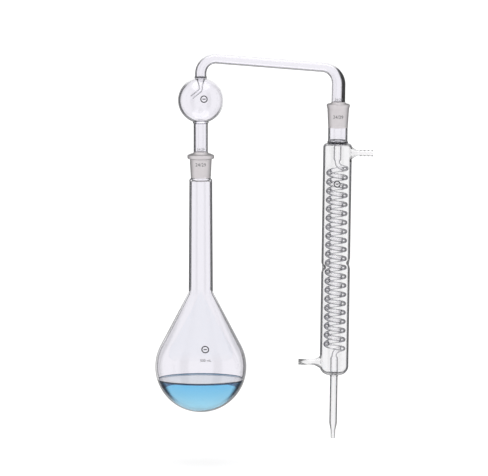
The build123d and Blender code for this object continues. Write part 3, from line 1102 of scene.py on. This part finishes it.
# ---------------------------------------------------------------- splash head
@dataclass
class SplashHead:
    """Anti-splash bulb between two ground cones, with its delivery tube."""

    finishes: Finishes
    joint: GroundJoint
    rim: float
    condenser: Matrix
    stem: float = 8.75
    stem_wall: float = 1.6
    stem_seal: float = 9.7
    radius: float = 27.75
    wall: float = 1.4
    centre: float = 152.5
    ring: float = 7.6
    ring_height: float = 2.6
    spout_top: float = 5.05
    spout: float = 2.5
    spout_wall: float = 1.0
    spout_taper: float = 10.8
    spout_bend_depth: float = 14.3
    spout_bend_radius: float = 3.6
    spout_tip: Point2 = (-10.9, 156.2)
    root: float = 6.9
    tube: float = 5.9
    tube_wall: float = 1.3
    crest: float = 204.8
    drop: float = 0.079
    first_bend: float = 18.0
    second_bend: float = 20.7
    leg: float = 8.4
    seal_band: float = 1.5
    mark_turn: float = 8.5
    # Painted shade: how much the dark edge of the stem, bulb and delivery line widens (above 0) or
    # narrows (below 0).
    stem_tones: Point2 = (0.04, -0.05)  # on the left and on the right
    bulb_tone: float = 0.05
    far_side_fade: float = 0.26
    top_fade: float = 0.25
    side_blend: float = 12.0
    line_top_fade: float = 0.45
    bend_tone: float = 0.80
    leg_fade: float = 0.22

    @property
    def stem_top(self) -> float:
        """Height where the stem's seal meets the bulb."""
        return self.centre - math.sqrt(self.radius**2 - self.stem_seal**2)

    @property
    def bulb_top(self) -> float:
        """Height where the ring seal sits on the bulb."""
        return self.centre + math.sqrt(self.radius**2 - self.ring**2)

    @property
    def tube_start(self) -> float:
        """Height where the delivery tube leaves the ring seal."""
        return self.bulb_top + self.ring_height

    def build_cones(self) -> None:
        """Make the two ground cones."""
        places = (
            ("head_cone_ground", "head_cone", self.stem, Matrix.Translation((0, 0, self.rim))),
            ("delivery_cone_ground", "delivery_cone", self.leg, self.condenser),
        )
        for name, node, stem, place in places:
            self.joint.cone(stem, self.stem_wall).piece(
                name, Body.HEAD, Slot.GROUND, [node], [self.finishes.ground], place)

    def build_bulb(self) -> None:
        """Make the stem, the bulb and its ring seal as one wall of glass."""
        foot = self.rim + self.joint.shoulder
        inner = self.radius - self.wall
        bore = self.stem - self.stem_wall
        hole = self.spout_top + HAIRLINE
        outer_arc = arc(
            self.centre, self.radius,
            math.degrees(math.asin((self.stem_top - self.centre) / self.radius)),
            math.degrees(math.asin((self.bulb_top - self.centre) / self.radius)))
        inner_arc = arc(
            self.centre, inner, math.degrees(math.acos(hole / inner)),
            -math.degrees(math.acos(bore / inner)))
        outline = [
            (bore, foot, 0.0),
            (self.stem, foot, 0.0),
            (self.stem, self.stem_top - 2.4, 1.0),
            (self.stem_seal, self.stem_top - 1.6, 0.5),
            *outer_arc,
            (self.ring, self.tube_start - self.seal_band, 0.0),
            (self.ring, self.tube_start - 0.2, 0.5),
            (self.root, self.tube_start, 0.0),
            (self.spout_top - self.spout_wall, self.tube_start, 0.0),
            (self.spout_top - self.spout_wall, self.bulb_top, 0.0),
            (hole, self.bulb_top, 0.0),
            *inner_arc,
        ]
        shape = Shape.turned(outline, 128)
        shape.paint(1, lambda place: place.z < self.stem_top)
        # Zones 2 and 3, the stem seal and the ring seal, take seal finishes whose dark grey is
        # painted shade.
        shape.paint(2, lambda place: place.xy.length > self.stem + 0.1
                    and place.z < self.stem_top - 1.2)
        shape.paint(3, lambda place: place.xy.length > self.root - 0.3
                    and place.z > self.tube_start - self.seal_band)
        shape.piece("splash_bulb_glass", Body.HEAD, Slot.CLEAR,
                    ["head_stem", "splash_bulb", "head_ring_seal"],
                    [self.finishes.small_bulb, self.finishes.stem, self.finishes.seal,
                     self.finishes.dark_seal],
                    tone=self._bulb_tone)

    def _bulb_tone(self, place: Vector) -> float:
        """Painted shade: darken the bulb's far side, and fade its dark edge at the top and towards
        the condenser.
        """
        if place.z < self.stem_top + 1.0:
            return self.stem_tones[place.x > 0]
        height = (place.z - self.centre) / self.radius
        side = step(place.x, -self.side_blend, self.side_blend)
        far_side = (self.far_side_fade * step(height, -0.75, 0.1)) * side
        return self.bulb_tone - far_side - self.top_fade * step(height, 0.6, 0.95)

    def build_spout(self) -> None:
        """Make the bent tube inside the bulb."""
        top = Vector((0, 0, self.bulb_top - HAIRLINE))
        taper_end = Vector((0, 0, self.bulb_top - self.spout_taper))
        corner = Vector((0, 0, self.bulb_top - self.spout_bend_depth))
        tip = Vector((self.spout_tip[0], 0, self.spout_tip[1]))
        stations = [Station(top, self.spout_top)]
        stations += straight(top, taper_end, (self.spout_top, self.spout), 8)
        stations += bend(taper_end, corner, tip, self.spout_bend_radius, (self.spout, self.spout))
        stations += straight(stations[-1].place, tip, (self.spout, self.spout), 4)
        Shape.drawn(stations, self.spout_wall, 32).piece(
            "splash_spout", Body.HEAD, Slot.CLEAR, ["splash_tube"], [self.finishes.tube])

    def build_delivery(self) -> None:
        """Make the delivery tube, whose second bend widens into the leg."""
        rim = self.condenser.to_translation()
        up = (self.condenser.to_3x3() @ Vector((0, 0, 1))).normalized()
        rise = (self.crest - self.drop * rim.x - rim.z) / (up.z + self.drop * up.x)
        start = Vector((0, 0, self.tube_start + HAIRLINE))
        crest = Vector((0, 0, self.crest))
        corner = rim + up * rise
        end = rim + up * (self.joint.shoulder + HAIRLINE)
        stations = [Station(start, self.root)]
        stations += bend(start, crest, corner, self.first_bend, (self.root, self.tube))
        second = bend(crest, corner, end, self.second_bend, (self.tube, self.leg))
        stations += straight(stations[-1].place, second[0].place, (self.tube, self.tube), 24)[:-1]
        stations += second
        stations += straight(second[-1].place, end, (self.leg, self.leg), 4)
        Shape.drawn(stations, self.tube_wall, 48).piece(
            "delivery_line", Body.HEAD, Slot.CLEAR, ["delivery_tube", "delivery_leg"],
            [self.finishes.stem], tone=lambda place: self._line_tone(place, stations))

    def _line_tone(self, place: Vector, stations: Sequence[Station]) -> float:
        """Painted shade: fade the delivery line's upper dark edge, and widen the dark one outside
        its last bend.

        Args:
            place: A point on the tube.
            stations: The tube's centre line.

        Returns:
            How much wider the painted dark edge is there.
        """
        near = min(range(len(stations)), key=lambda i: (stations[i].place - place).length_squared)
        ahead = stations[min(near + 1, len(stations) - 1)].place
        along = (ahead - stations[max(near - 1, 0)].place).normalized()
        outward = Vector((-along.z, 0, along.x))
        off = (place - stations[near].place).dot(outward) / stations[near].radius
        if off > 0:
            fade = -self.line_top_fade * (1 - max(along.z, 0.0))
            return (fade + self.bend_tone * step(-along.z, 0.35, 1.0)) * step(off, 0.0, 0.5)
        return -self.leg_fade * step(-along.z, 0.5, 1.0) * step(-off, 0.0, 0.5)

    def build_marks(self, marks: Marks) -> None:
        """Lay the marks on the bulb and on the two stems."""
        marks.lay("splash_bulb_emblem", marks.emblem(9.0),
                  on_sphere(self.radius, self.centre, self.centre + 4.0), Body.HEAD, Slot.CLEAR,
                  self.finishes.mark, Matrix.Rotation(math.radians(self.mark_turn), 4, "Z"))
        for name, radius, place in (
            ("head_joint_mark", self.stem, Matrix.Translation((0, 0, self.rim + 6.0))),
            ("delivery_joint_mark", self.leg, self.condenser @ Matrix.Translation((0, 0, 5.6))),
        ):
            marks.lay(name, marks.text(self.joint.label, 3.0), on_cylinder(radius, 0.0), Body.HEAD,
                      Slot.CLEAR, self.finishes.faint_mark, place)

    def build(self, marks: Marks) -> None:
        """Make every piece of the head."""
        self.build_cones()
        self.build_bulb()
        self.build_spout()
        self.build_delivery()
        self.build_marks(marks)


# ---------------------------------------------------------------- condenser
@dataclass(frozen=True)
class Port:
    """A hose connector that grows out of the jacket."""

    side: int
    depth: float
    end: float = 43.6
    root: float = 7.4
    neck: float = 3.4
    bore: float = 2.2
    mouth: float = 5.4
    flare_end: float = 26.0
    ribs: tuple[float, ...] = ()
    rib_radius: float = 3.85
    rib_land: float = 1.2
    rib_slope: float = 0.9
    flare_steps: int = 10
    flare_power: float = 1.7
    half_steps: int = 5
    ring_gap: float = 1.32

    def rings(self) -> list[float]:
        """Depths of the jacket's rings that frame the port."""
        count = self.half_steps
        return [self.depth + i * self.ring_gap for i in range(-count, count + 1)]


@dataclass(frozen=True)
class Dent:
    """A dimple in the jacket that steadies the coil."""

    side: int
    depth: float
    inward: float
    reach: float = 6.6

    def rings(self) -> list[float]:
        """Depths of the jacket's rings that carry the dent."""
        count = round(self.reach + 1)
        return [self.depth + i for i in range(-count, count + 1)]

    def push(self, vert: BMVert, radius: float) -> None:
        """Move a vertex of the jacket inwards by its share of the dent."""
        x, y, z = vert.co
        if x * self.side <= 0:
            return
        along = math.atan2(y, x * self.side) * radius
        far = math.hypot(along, z + self.depth) / self.reach
        if far < 1.0:
            vert.co.x -= self.side * self.inward * (1 - far * far) ** 2


@dataclass
class Condenser:
    """Coil condenser: rim at height 0 on its own axis, with depths counted downwards."""

    finishes: Finishes
    joint: GroundJoint
    place: Matrix
    socket_foot: float = 11.95
    socket_top: float = 13.2
    lip: float = 14.1
    neck: float = 11.95
    neck_wall: float = 1.5
    neck_end: float = 46.0
    seal: float = 12.8
    seal_height: float = 2.2
    jacket: float = 17.65
    jacket_wall: float = 1.5
    jacket_end: float = 332.4
    top_round: float = 5.0
    end_round: float = 11.0
    entry: float = 4.7
    entry_end: float = 71.0
    exit_start: float = 308.6
    exit: float = 4.6
    stem_wall: float = 1.2
    throat: float = 3.6
    turns: int = 20
    pitch: float = 11.05
    coil_radius: float = 10.4
    coil_tube: float = 3.2
    coil_wall: float = 1.0
    coil_start: float = 79.0
    coil_lead: float = 8.0
    bottom_seal: float = 6.4
    bottom_seal_height: float = 1.8
    drip: float = 4.65
    drip_end: float = 392.0
    tip_end: float = 410.3
    tip: float = 2.5
    tip_wall: float = 0.9
    segments: int = 80
    turn_steps: int = 28
    run_steps: int = 6
    curve_steps: int = 14
    ring_gap: float = 5.0
    least_gap: float = 0.25
    # Painted shade in the jacket's dents and ribs and at the connectors' edges; values widen
    # (above 0) or narrow (below 0) the dark edge.
    dent_tone: float = 0.48
    dent_core: float = 0.3
    mouth_tone: float = -1.0
    rib_tone: float = 0.35
    outlet_tone: float = -0.10
    inlet_tones: Point2 = (0.25, -0.12)  # below and above

    @property
    def ports(self) -> tuple[Port, Port]:
        """The water outlet, with ribs, and the plain water inlet."""
        return Port(1, 59.9, ribs=(27.9, 32.5, 37.1, 41.7)), Port(-1, 317.2)

    @property
    def dents(self) -> tuple[Dent, Dent]:
        """One dent on each side, each midway between two turns of the coil."""
        right = self.coil_start + (self.turns // 2 + 0.5) * self.pitch
        return Dent(1, right, 3.4), Dent(-1, right + self.pitch / 2, 4.6)

    def build_socket(self) -> None:
        """Make the ground socket with its slim flared lip."""
        body = [
            (self.socket_top, -6.0, 4.0),
            (self.lip, -2.8, 1.4),
            (self.lip, -0.8, 0.7),
            (self.joint.radius + 0.8, 0.0, 0.3),
        ]
        shape = self.joint.socket(self.socket_foot, body)
        shape.piece("condenser_socket_ground", Body.CONDENSER, Slot.GROUND, ["condenser_socket"],
                    [self.finishes.ground], self.place)

    def build_neck(self) -> None:
        """Make the clear neck and the thick ring seal under it."""
        top = -self.joint.length - HAIRLINE
        foot = -self.neck_end - self.seal_height
        bore = self.entry - self.stem_wall
        outline = [
            (self.joint.bore(self.joint.length), top, 0.0),
            (self.socket_foot, top, 0.0),
            (self.neck, -self.neck_end + 0.3, 0.3),
            (self.seal, -self.neck_end, 0.5),
            (self.seal, foot, 0.7),
            (bore, foot, 0.0),
            (bore, -self.neck_end, 1.0),
            (self.neck - self.neck_wall, -self.neck_end + 0.6, 2.0),
        ]
        shape = Shape.turned(outline, 96)
        # The ring seal takes the dark seal finish, whose near-black colour is painted shade.
        shape.paint(1, lambda place: foot + 1.0 < place.z < -self.neck_end + 0.35
                    and place.xy.length > self.neck - 0.1)
        shape.piece("condenser_neck_glass", Body.CONDENSER, Slot.CLEAR,
                    ["condenser_neck", "top_ring_seal"],
                    [self.finishes.neck, self.finishes.dark_seal], self.place)

    def _jacket_ends(self, inset: float) -> Point2:
        """Depths of the top and the foot of one skin."""
        return self.neck_end + self.seal_height + inset, self.jacket_end - inset

    def _jacket_radius(self, depth: float, inset: float) -> float:
        """Radius of the jacket's skin at a depth."""
        radius = self.jacket - inset
        top, foot = self._jacket_ends(inset)
        for rounding, gap in (
            (self.top_round - inset, depth - top),
            (self.end_round - inset, foot - depth),
        ):
            if gap < rounding:
                drop = rounding - max(gap, 0.0)
                return radius - rounding + math.sqrt(max(rounding**2 - drop**2, 0.0))
        return radius

    def _jacket_depths(self, inset: float) -> list[float]:
        """Depths of the rings of one skin, close together at the ports, dents and ends."""
        top, foot = self._jacket_ends(inset)
        groups = [port.rings() for port in self.ports] + [dent.rings() for dent in self.dents]
        zones = [(rings[0], rings[-1]) for rings in groups]
        depths = [depth for rings in groups for depth in rings]
        ends = ((top, self.top_round - inset, 1), (foot, self.end_round - inset, -1))
        for end, rounding, way in ends:
            for i in range(9):
                depth = end + way * rounding * (1 - math.cos(math.pi / 2 * i / 8))
                if all(not low - 0.5 < depth < high + 0.5 for low, high in zones[:2]):
                    depths.append(depth)
        free = top + self.top_round
        while free < foot - self.end_round:
            if all(not low - 2.0 < free < high + 2.0 for low, high in zones):
                depths.append(free)
            free += self.ring_gap
        depths = sorted(d for d in depths if top <= d <= foot)
        return [d for i, d in enumerate(depths) if i == 0 or d - depths[i - 1] > self.least_gap]

    def _jacket_skin(self, shape: Shape, inset: float,
                     holes: Point2) -> tuple[list[Edges], list[Edges]]:
        """Make one skin of the jacket, dented, with its ports grown.

        Args:
            shape: The mesh to add to.
            inset: How far the skin lies inside the outer one.
            holes: Radii of the hole at the top and of the one at the foot.

        Returns:
            The edges of the top hole and the foot's, and the edges of each port's end.
        """
        outline = [(self._jacket_radius(d, inset), -d) for d in self._jacket_depths(inset)]
        outline = [(holes[0], outline[0][1])] + outline + [(holes[1], outline[-1][1])]
        faces = shape.turn(outline, False, self.segments)
        verts = {v for f in faces for v in f.verts}
        for dent in self.dents:
            for vert in verts:
                dent.push(vert, self.jacket - inset)
        rims = [
            [e for e in {e for f in faces for e in f.edges}
             if all(abs(v.co.z - z) < FINE and abs(v.co.xy.length - r) < COARSE for v in e.verts)]
            for r, z in (outline[0], outline[-1])
        ]
        ends = [self._grow_port(shape, faces, port, inset) for port in self.ports]
        return rims, ends

    def _grow_port(self, shape: Shape, skin: list[BMFace], port: Port, inset: float) -> Edges:
        """Open a patch of the jacket's skin and grow a connector from its edge.

        Args:
            shape: The mesh.
            skin: Faces of the skin.
            port: The connector.
            inset: Above 0 for the inner skin.

        Returns:
            The edges of the connector's end.
        """
        mesh = shape.mesh
        half_angle = port.half_steps * math.tau / self.segments
        reach = port.half_steps * port.ring_gap

        def inside(vert: BMVert) -> bool:
            """True if a vertex is in the patch or on its edge."""
            angle = math.atan2(vert.co.y, vert.co.x * port.side)
            near = abs(vert.co.z + port.depth) < reach + COARSE
            return near and abs(angle) < half_angle + FINE

        patch = [f for f in skin if f.is_valid and all(inside(v) for v in f.verts)]
        chosen = set(patch)
        edge = [e for e in {e for f in patch for e in f.edges}
                if sum(f in chosen for f in e.link_faces) == 1]
        bmesh.ops.delete(mesh, geom=patch, context="FACES")
        wide, narrow = (port.root, port.neck) if inset == 0 else (port.mouth, port.bore)
        skin_radius = self.jacket - inset
        length = port.flare_end - skin_radius

        def settle(verts: Iterable[BMVert], radius: float, lift: float, flat: float) -> None:
            """Put a ring of the connector in place, from saddle-shaped to flat."""
            for vert in verts:
                angle = math.atan2(vert.co.z + port.depth, vert.co.y)
                y, z = radius * math.cos(angle), radius * math.sin(angle) - port.depth
                round_here = self._jacket_radius(-z, inset)
                saddle = math.sqrt(max(round_here**2 - y * y, 0.0)) + lift
                level = skin_radius + lift
                vert.co = Vector((port.side * between(saddle, level, flat), y, z))

        settle({v for e in edge for v in e.verts}, wide, 0.0, 0.0)
        shares = [i / port.flare_steps for i in range(1, port.flare_steps + 1)]
        rows = [(between(narrow, wide, (1 - s) ** port.flare_power), length * s, ease(s))
                for s in shares]
        rise = port.rib_radius - port.neck if inset == 0 else 0.0
        up = ((-port.rib_slope, 0.0), (-port.rib_slope / 2, 0.35), (0.0, 1.0))
        down = tuple((port.rib_land - offset, share) for offset, share in reversed(up))
        for start in port.ribs:
            for offset, share in up + down:
                if start + offset < port.end - 0.2:
                    rows.append((narrow + rise * share, start + offset - skin_radius, 1.0))
        finish = narrow + (rise if port.ribs else 0.0)
        rows.append((finish, port.end - 0.25 - skin_radius, 1.0))
        rows.append((finish - (0.2 if inset == 0 else -0.2), port.end - skin_radius, 1.0))
        for radius, lift, flat in rows:
            grown = bmesh.ops.extrude_edge_only(mesh, edges=edge)["geom"]
            verts = {g for g in grown if isinstance(g, BMVert)}
            edge = [g for g in grown if isinstance(g, BMEdge) and set(g.verts) <= verts]
            settle(verts, radius, lift, flat)
        return edge

    def _jacket_tone(self, place: Vector) -> float:
        """Painted shade: darken the dents and the ribs, and fade the connectors' upper dark edges.
        """
        for dent in self.dents:
            if place.x * dent.side > 0:
                near = math.hypot(place.y, place.z + dent.depth)
                if near < dent.reach:
                    core = dent.reach * self.dent_core
                    return self.dent_tone * (1 - step(near, core, dent.reach))
        outlet, inlet = self.ports
        if abs(place.x) > outlet.end - 0.6:
            return self.mouth_tone
        if place.x > outlet.flare_end:
            off = math.hypot(place.y, place.z + outlet.depth)
            return self.rib_tone if off > outlet.neck + 0.2 else self.outlet_tone
        off = math.hypot(place.y, place.z + inlet.depth)
        if place.x < -inlet.flare_end and off < inlet.neck - 0.3:
            return self.mouth_tone
        return self.inlet_tones[place.z + inlet.depth > 0] if place.x < -self.jacket else 0.0

    def build_jacket(self) -> None:
        """Make the water jacket and its two connectors as one wall of glass."""
        shape = Shape()
        holes = (self.entry + HAIRLINE, self.exit + HAIRLINE)
        outer_rims, outer_ends = self._jacket_skin(shape, 0.0, holes)
        inner_rims, inner_ends = self._jacket_skin(shape, self.jacket_wall, holes)
        for ring, other in zip(outer_rims + outer_ends, inner_rims + inner_ends):
            shape.join(ring, other)
        drop = Matrix.Translation((0, 0, -HAIRLINE))
        shape.piece("water_jacket", Body.CONDENSER, Slot.CLEAR,
                    ["condenser_jacket", "water_outlet", "water_inlet"], [self.finishes.jacket],
                    self.place @ drop, tone=self._jacket_tone)

    def build_coil(self) -> None:
        """Make the vapour path: entry tube, coil and exit tube in one."""
        top, throat_in, entry, leave, throat_out, foot = (Vector((0, 0, -depth)) for depth in (
            self.neck_end + self.seal_height + 2 * HAIRLINE, self.entry_end - self.throat,
            self.entry_end, self.exit_start, self.exit_start + self.throat, self.jacket_end))
        lead = Vector((0, 0, self.coil_lead))
        helix = []
        for i in range(self.turns * self.turn_steps + 1):
            angle = math.tau * i / self.turn_steps
            depth = self.coil_start + self.pitch * i / self.turn_steps
            place = Vector((self.coil_radius * math.cos(angle), self.coil_radius * math.sin(angle),
                            -depth))
            helix.append(Station(place, self.coil_tube))
        first, last = helix[0].place, helix[-1].place
        slope = (helix[1].place - first).normalized() * self.coil_lead
        drop = (last - helix[-2].place).normalized() * self.coil_lead
        way_in = (entry, entry - lead, first - slope, first)
        way_out = (last, last + drop, leave + lead, leave)
        stations = [
            Station(top, self.entry),
            *straight(top, throat_in, (self.entry, self.entry), self.run_steps),
            *straight(throat_in, entry, (self.entry, self.coil_tube), self.run_steps),
            *bezier(way_in, self.coil_tube, self.curve_steps),
            *helix,
            *bezier(way_out, self.coil_tube, self.curve_steps),
            Station(leave, self.coil_tube),
            *straight(leave, throat_out, (self.coil_tube, self.exit), self.run_steps),
            *straight(throat_out, foot, (self.exit, self.exit), self.run_steps),
        ]
        shape = Shape.drawn(stations, self.coil_wall, 20)
        shape.piece("coil_glass", Body.CONDENSER, Slot.CLEAR,
                    ["coil_entry_tube", "cooling_coil", "coil_exit_tube"], [self.finishes.coil],
                    self.place)

    def build_drip(self) -> None:
        """Make the bottom seal, the drip tube and its drawn-out tip."""
        top = -self.jacket_end - 2 * HAIRLINE
        seal_foot = top - self.bottom_seal_height
        waist = -self.drip_end - (self.tip_end - self.drip_end) * 0.45
        waist_radius = self.tip + 0.35
        inner = self.drip - self.stem_wall
        outline = [
            (self.exit - self.stem_wall, top, 0.0),
            (self.bottom_seal, top, 0.4),
            (self.drip, seal_foot, 1.0),
            (self.drip, -self.drip_end, 14.0),
            (waist_radius, waist, 12.0),
            (self.tip, -self.tip_end, 0.3),
            (self.tip - self.tip_wall, -self.tip_end, 0.3),
            (waist_radius - self.tip_wall, waist, 12.0),
            (inner, -self.drip_end, 14.0),
        ]
        Shape.turned(outline, 48).piece(
            "drip_stem", Body.CONDENSER, Slot.CLEAR, ["bottom_ring_seal", "drip_tube", "drip_tip"],
            [self.finishes.tube], self.place)

    def build_marks(self, marks: Marks) -> None:
        """Lay the marks on the socket and on the jacket."""
        size_mark = marks.text(self.joint.label, 4.0)
        for name, shape, radius, depth, finish in (
            ("condenser_joint_mark", size_mark, 12.9, 15.4, self.finishes.faint_mark),
            ("condenser_emblem", marks.emblem(8.5), self.jacket, 96.6, self.finishes.mark),
        ):
            marks.lay(name, shape, on_cylinder(radius, -depth), Body.CONDENSER, Slot.CLEAR, finish,
                      self.place)

    def build(self, marks: Marks) -> None:
        """Make every piece of the condenser."""
        self.build_socket()
        self.build_neck()
        self.build_jacket()
        self.build_coil()
        self.build_drip()
        self.build_marks(marks)


# ---------------------------------------------------------------- studio
@dataclass(frozen=True)
class Studio:
    """White floor, soft light all round, and a long lens a little above the glass."""

    aim: tuple[float, float, float] = (0.0527, 0.0, -0.0162)
    elevation: float = 6.2
    distance: float = 12.0
    focal_pixels: float = 9836.0
    frame_pixels: float = 488.0
    sensor: float = 36.0
    floor_gap: float = 0.03
    floor_radius: float = 60.0
    dim: float = 0.30
    bright: float = 1.16
    overhead: float = 1.05
    gap_edges: Point2 = (-0.95, -0.35)
    steep_edges: Point2 = (0.45, 0.8)
    lamp_energy: float = 1.6
    lamp_angle: float = 70.0
    lamp_height: float = 3.2
    bounces: int = 40
    glossy_bounces: int = 12

    def build_camera(self) -> None:
        """Aim the camera from the front."""
        lens = bpy.data.cameras.new("camera")
        lens.sensor_width = self.sensor
        lens.lens = self.focal_pixels / self.frame_pixels * self.sensor
        lens.clip_end = 100.0
        camera = stand("camera", lens)
        rise = math.radians(self.elevation)
        offset = Vector((0, -math.cos(rise), math.sin(rise))) * self.distance
        camera.location = Vector(self.aim) + offset
        camera.rotation_euler = (math.pi / 2 - rise, 0, 0)
        bpy.context.scene.camera = camera

    def build_floor(self, lowest: float) -> None:
        """Lay a pale round floor just below the glass.

        Args:
            lowest: Height of the object's lowest point.
        """
        shape = bmesh.new()
        bmesh.ops.create_circle(
            shape, cap_ends=True, radius=self.floor_radius, segments=96,
            matrix=Matrix.Translation((0, 0, lowest - self.floor_gap)))
        data = bpy.data.meshes.new("floor")
        shape.to_mesh(data)
        shape.free()
        n = Nodes("pale_floor")
        surface = n.variation(1.5, 40.0)
        colour = n.blend(surface.outputs["Wave"], (0.93, 0.93, 0.93), (0.90, 0.90, 0.905))
        n.dress(Base_Color=colour, Roughness=n.spread(surface.outputs["Grain"], 0.7, 0.85))
        data.materials.append(n.material)
        floor = stand("floor", data)
        floor.visible_transmission = False
        floor.visible_glossy = False
        floor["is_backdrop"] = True

    def build_world(self) -> None:
        """Light the glass from all round, with soft darker gaps between four bright quarters."""
        world = bpy.data.worlds.new("soft_box")
        bpy.context.scene.world = world
        world.use_nodes = True
        world.node_tree.nodes.clear()
        n = Layout(world.node_tree)
        where = n.add("ShaderNodeTexCoord")
        apart = n.add("ShaderNodeSeparateXYZ", Vector=where.outputs["Generated"])
        x, y, z = (apart.outputs[k] for k in "XYZ")
        x2, y2 = n.reckon("MULTIPLY", x, x), n.reckon("MULTIPLY", y, y)
        share = n.reckon("DIVIDE", y2, n.reckon("ADD", n.reckon("ADD", x2, y2), 1e-4))
        folded = n.reckon("SUBTRACT", n.reckon("MULTIPLY", share, share), share)
        quarters = n.reckon("ADD", n.reckon("MULTIPLY", folded, 8.0), 1.0)
        level = n.spread(quarters, self.dim, self.bright, *self.gap_edges)
        steep = n.spread(n.reckon("ABSOLUTE", z), 0.0, 1.0, *self.steep_edges)
        lift = n.reckon("MULTIPLY", steep, n.reckon("SUBTRACT", self.overhead, level))
        glow = n.reckon("ADD", level, lift)
        seen = n.add("ShaderNodeLightPath").outputs["Is Camera Ray"]
        to_white = n.reckon("MULTIPLY", n.reckon("SUBTRACT", 1.0, glow), seen)
        background = n.add("ShaderNodeBackground", Strength=n.reckon("ADD", glow, to_white))
        n.add("ShaderNodeOutputWorld", Surface=background.outputs["Background"])

    def build_lamp(self) -> None:
        """Shine one very soft light straight down to whiten the floor."""
        lamp = bpy.data.lights.new("overhead", "SUN")
        lamp.energy = self.lamp_energy
        lamp.angle = math.radians(self.lamp_angle)
        stand("overhead", lamp).location = (0.0, 0.0, self.lamp_height)

    def build(self, lowest: float) -> None:
        """Set up the studio.

        Args:
            lowest: Height of the object's lowest point.
        """
        scene = bpy.context.scene
        scene.view_settings.view_transform = "Standard"
        scene.cycles.max_bounces = self.bounces
        scene.cycles.transmission_bounces = self.bounces
        scene.cycles.glossy_bounces = self.glossy_bounces
        scene.cycles.caustics_reflective = False
        scene.cycles.caustics_refractive = False
        self.build_camera()
        self.build_floor(lowest)
        self.build_world()
        self.build_lamp()


def condenser_frame(frame: dict) -> Matrix:
    """Read the condenser's place from the joint that it turns on.

    Args:
        frame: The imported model.

    Returns:
        The place of its rim and axis, in millimetres.
    """
    joints = frame["record"]["behaviour"]["joints"]
    turn = next(j for j in joints if j["name"] == "condenser_turn")
    up = Vector(turn["axis"]).normalized()
    lean = math.atan2(up.x, up.z)
    rim = Vector(turn["pos_m"]) / MILLIMETRE
    return Matrix.Translation(rim) @ Matrix.Rotation(lean, 4, "Y")


def main() -> None:
    """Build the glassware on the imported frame."""
    logging.basicConfig(level=logging.INFO, format="%(message)s")
    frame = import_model()
    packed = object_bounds()
    low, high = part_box("flask_bulb")
    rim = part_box("flask_socket")[1][2] / MILLIMETRE
    joint = GroundJoint()
    finishes = Finishes.build()
    marks = Marks()
    place = condenser_frame(frame)
    Studio().build(packed[0][2])
    bottom, radius = low[2] / MILLIMETRE, high[0] / MILLIMETRE
    Flask(finishes, joint, bottom=bottom, rim=rim, radius=radius).build(marks)
    SplashHead(finishes, joint, rim=rim, condenser=place).build(marks)
    Condenser(finishes, joint, place).build(marks)


if __name__ == "__main__":
    main()
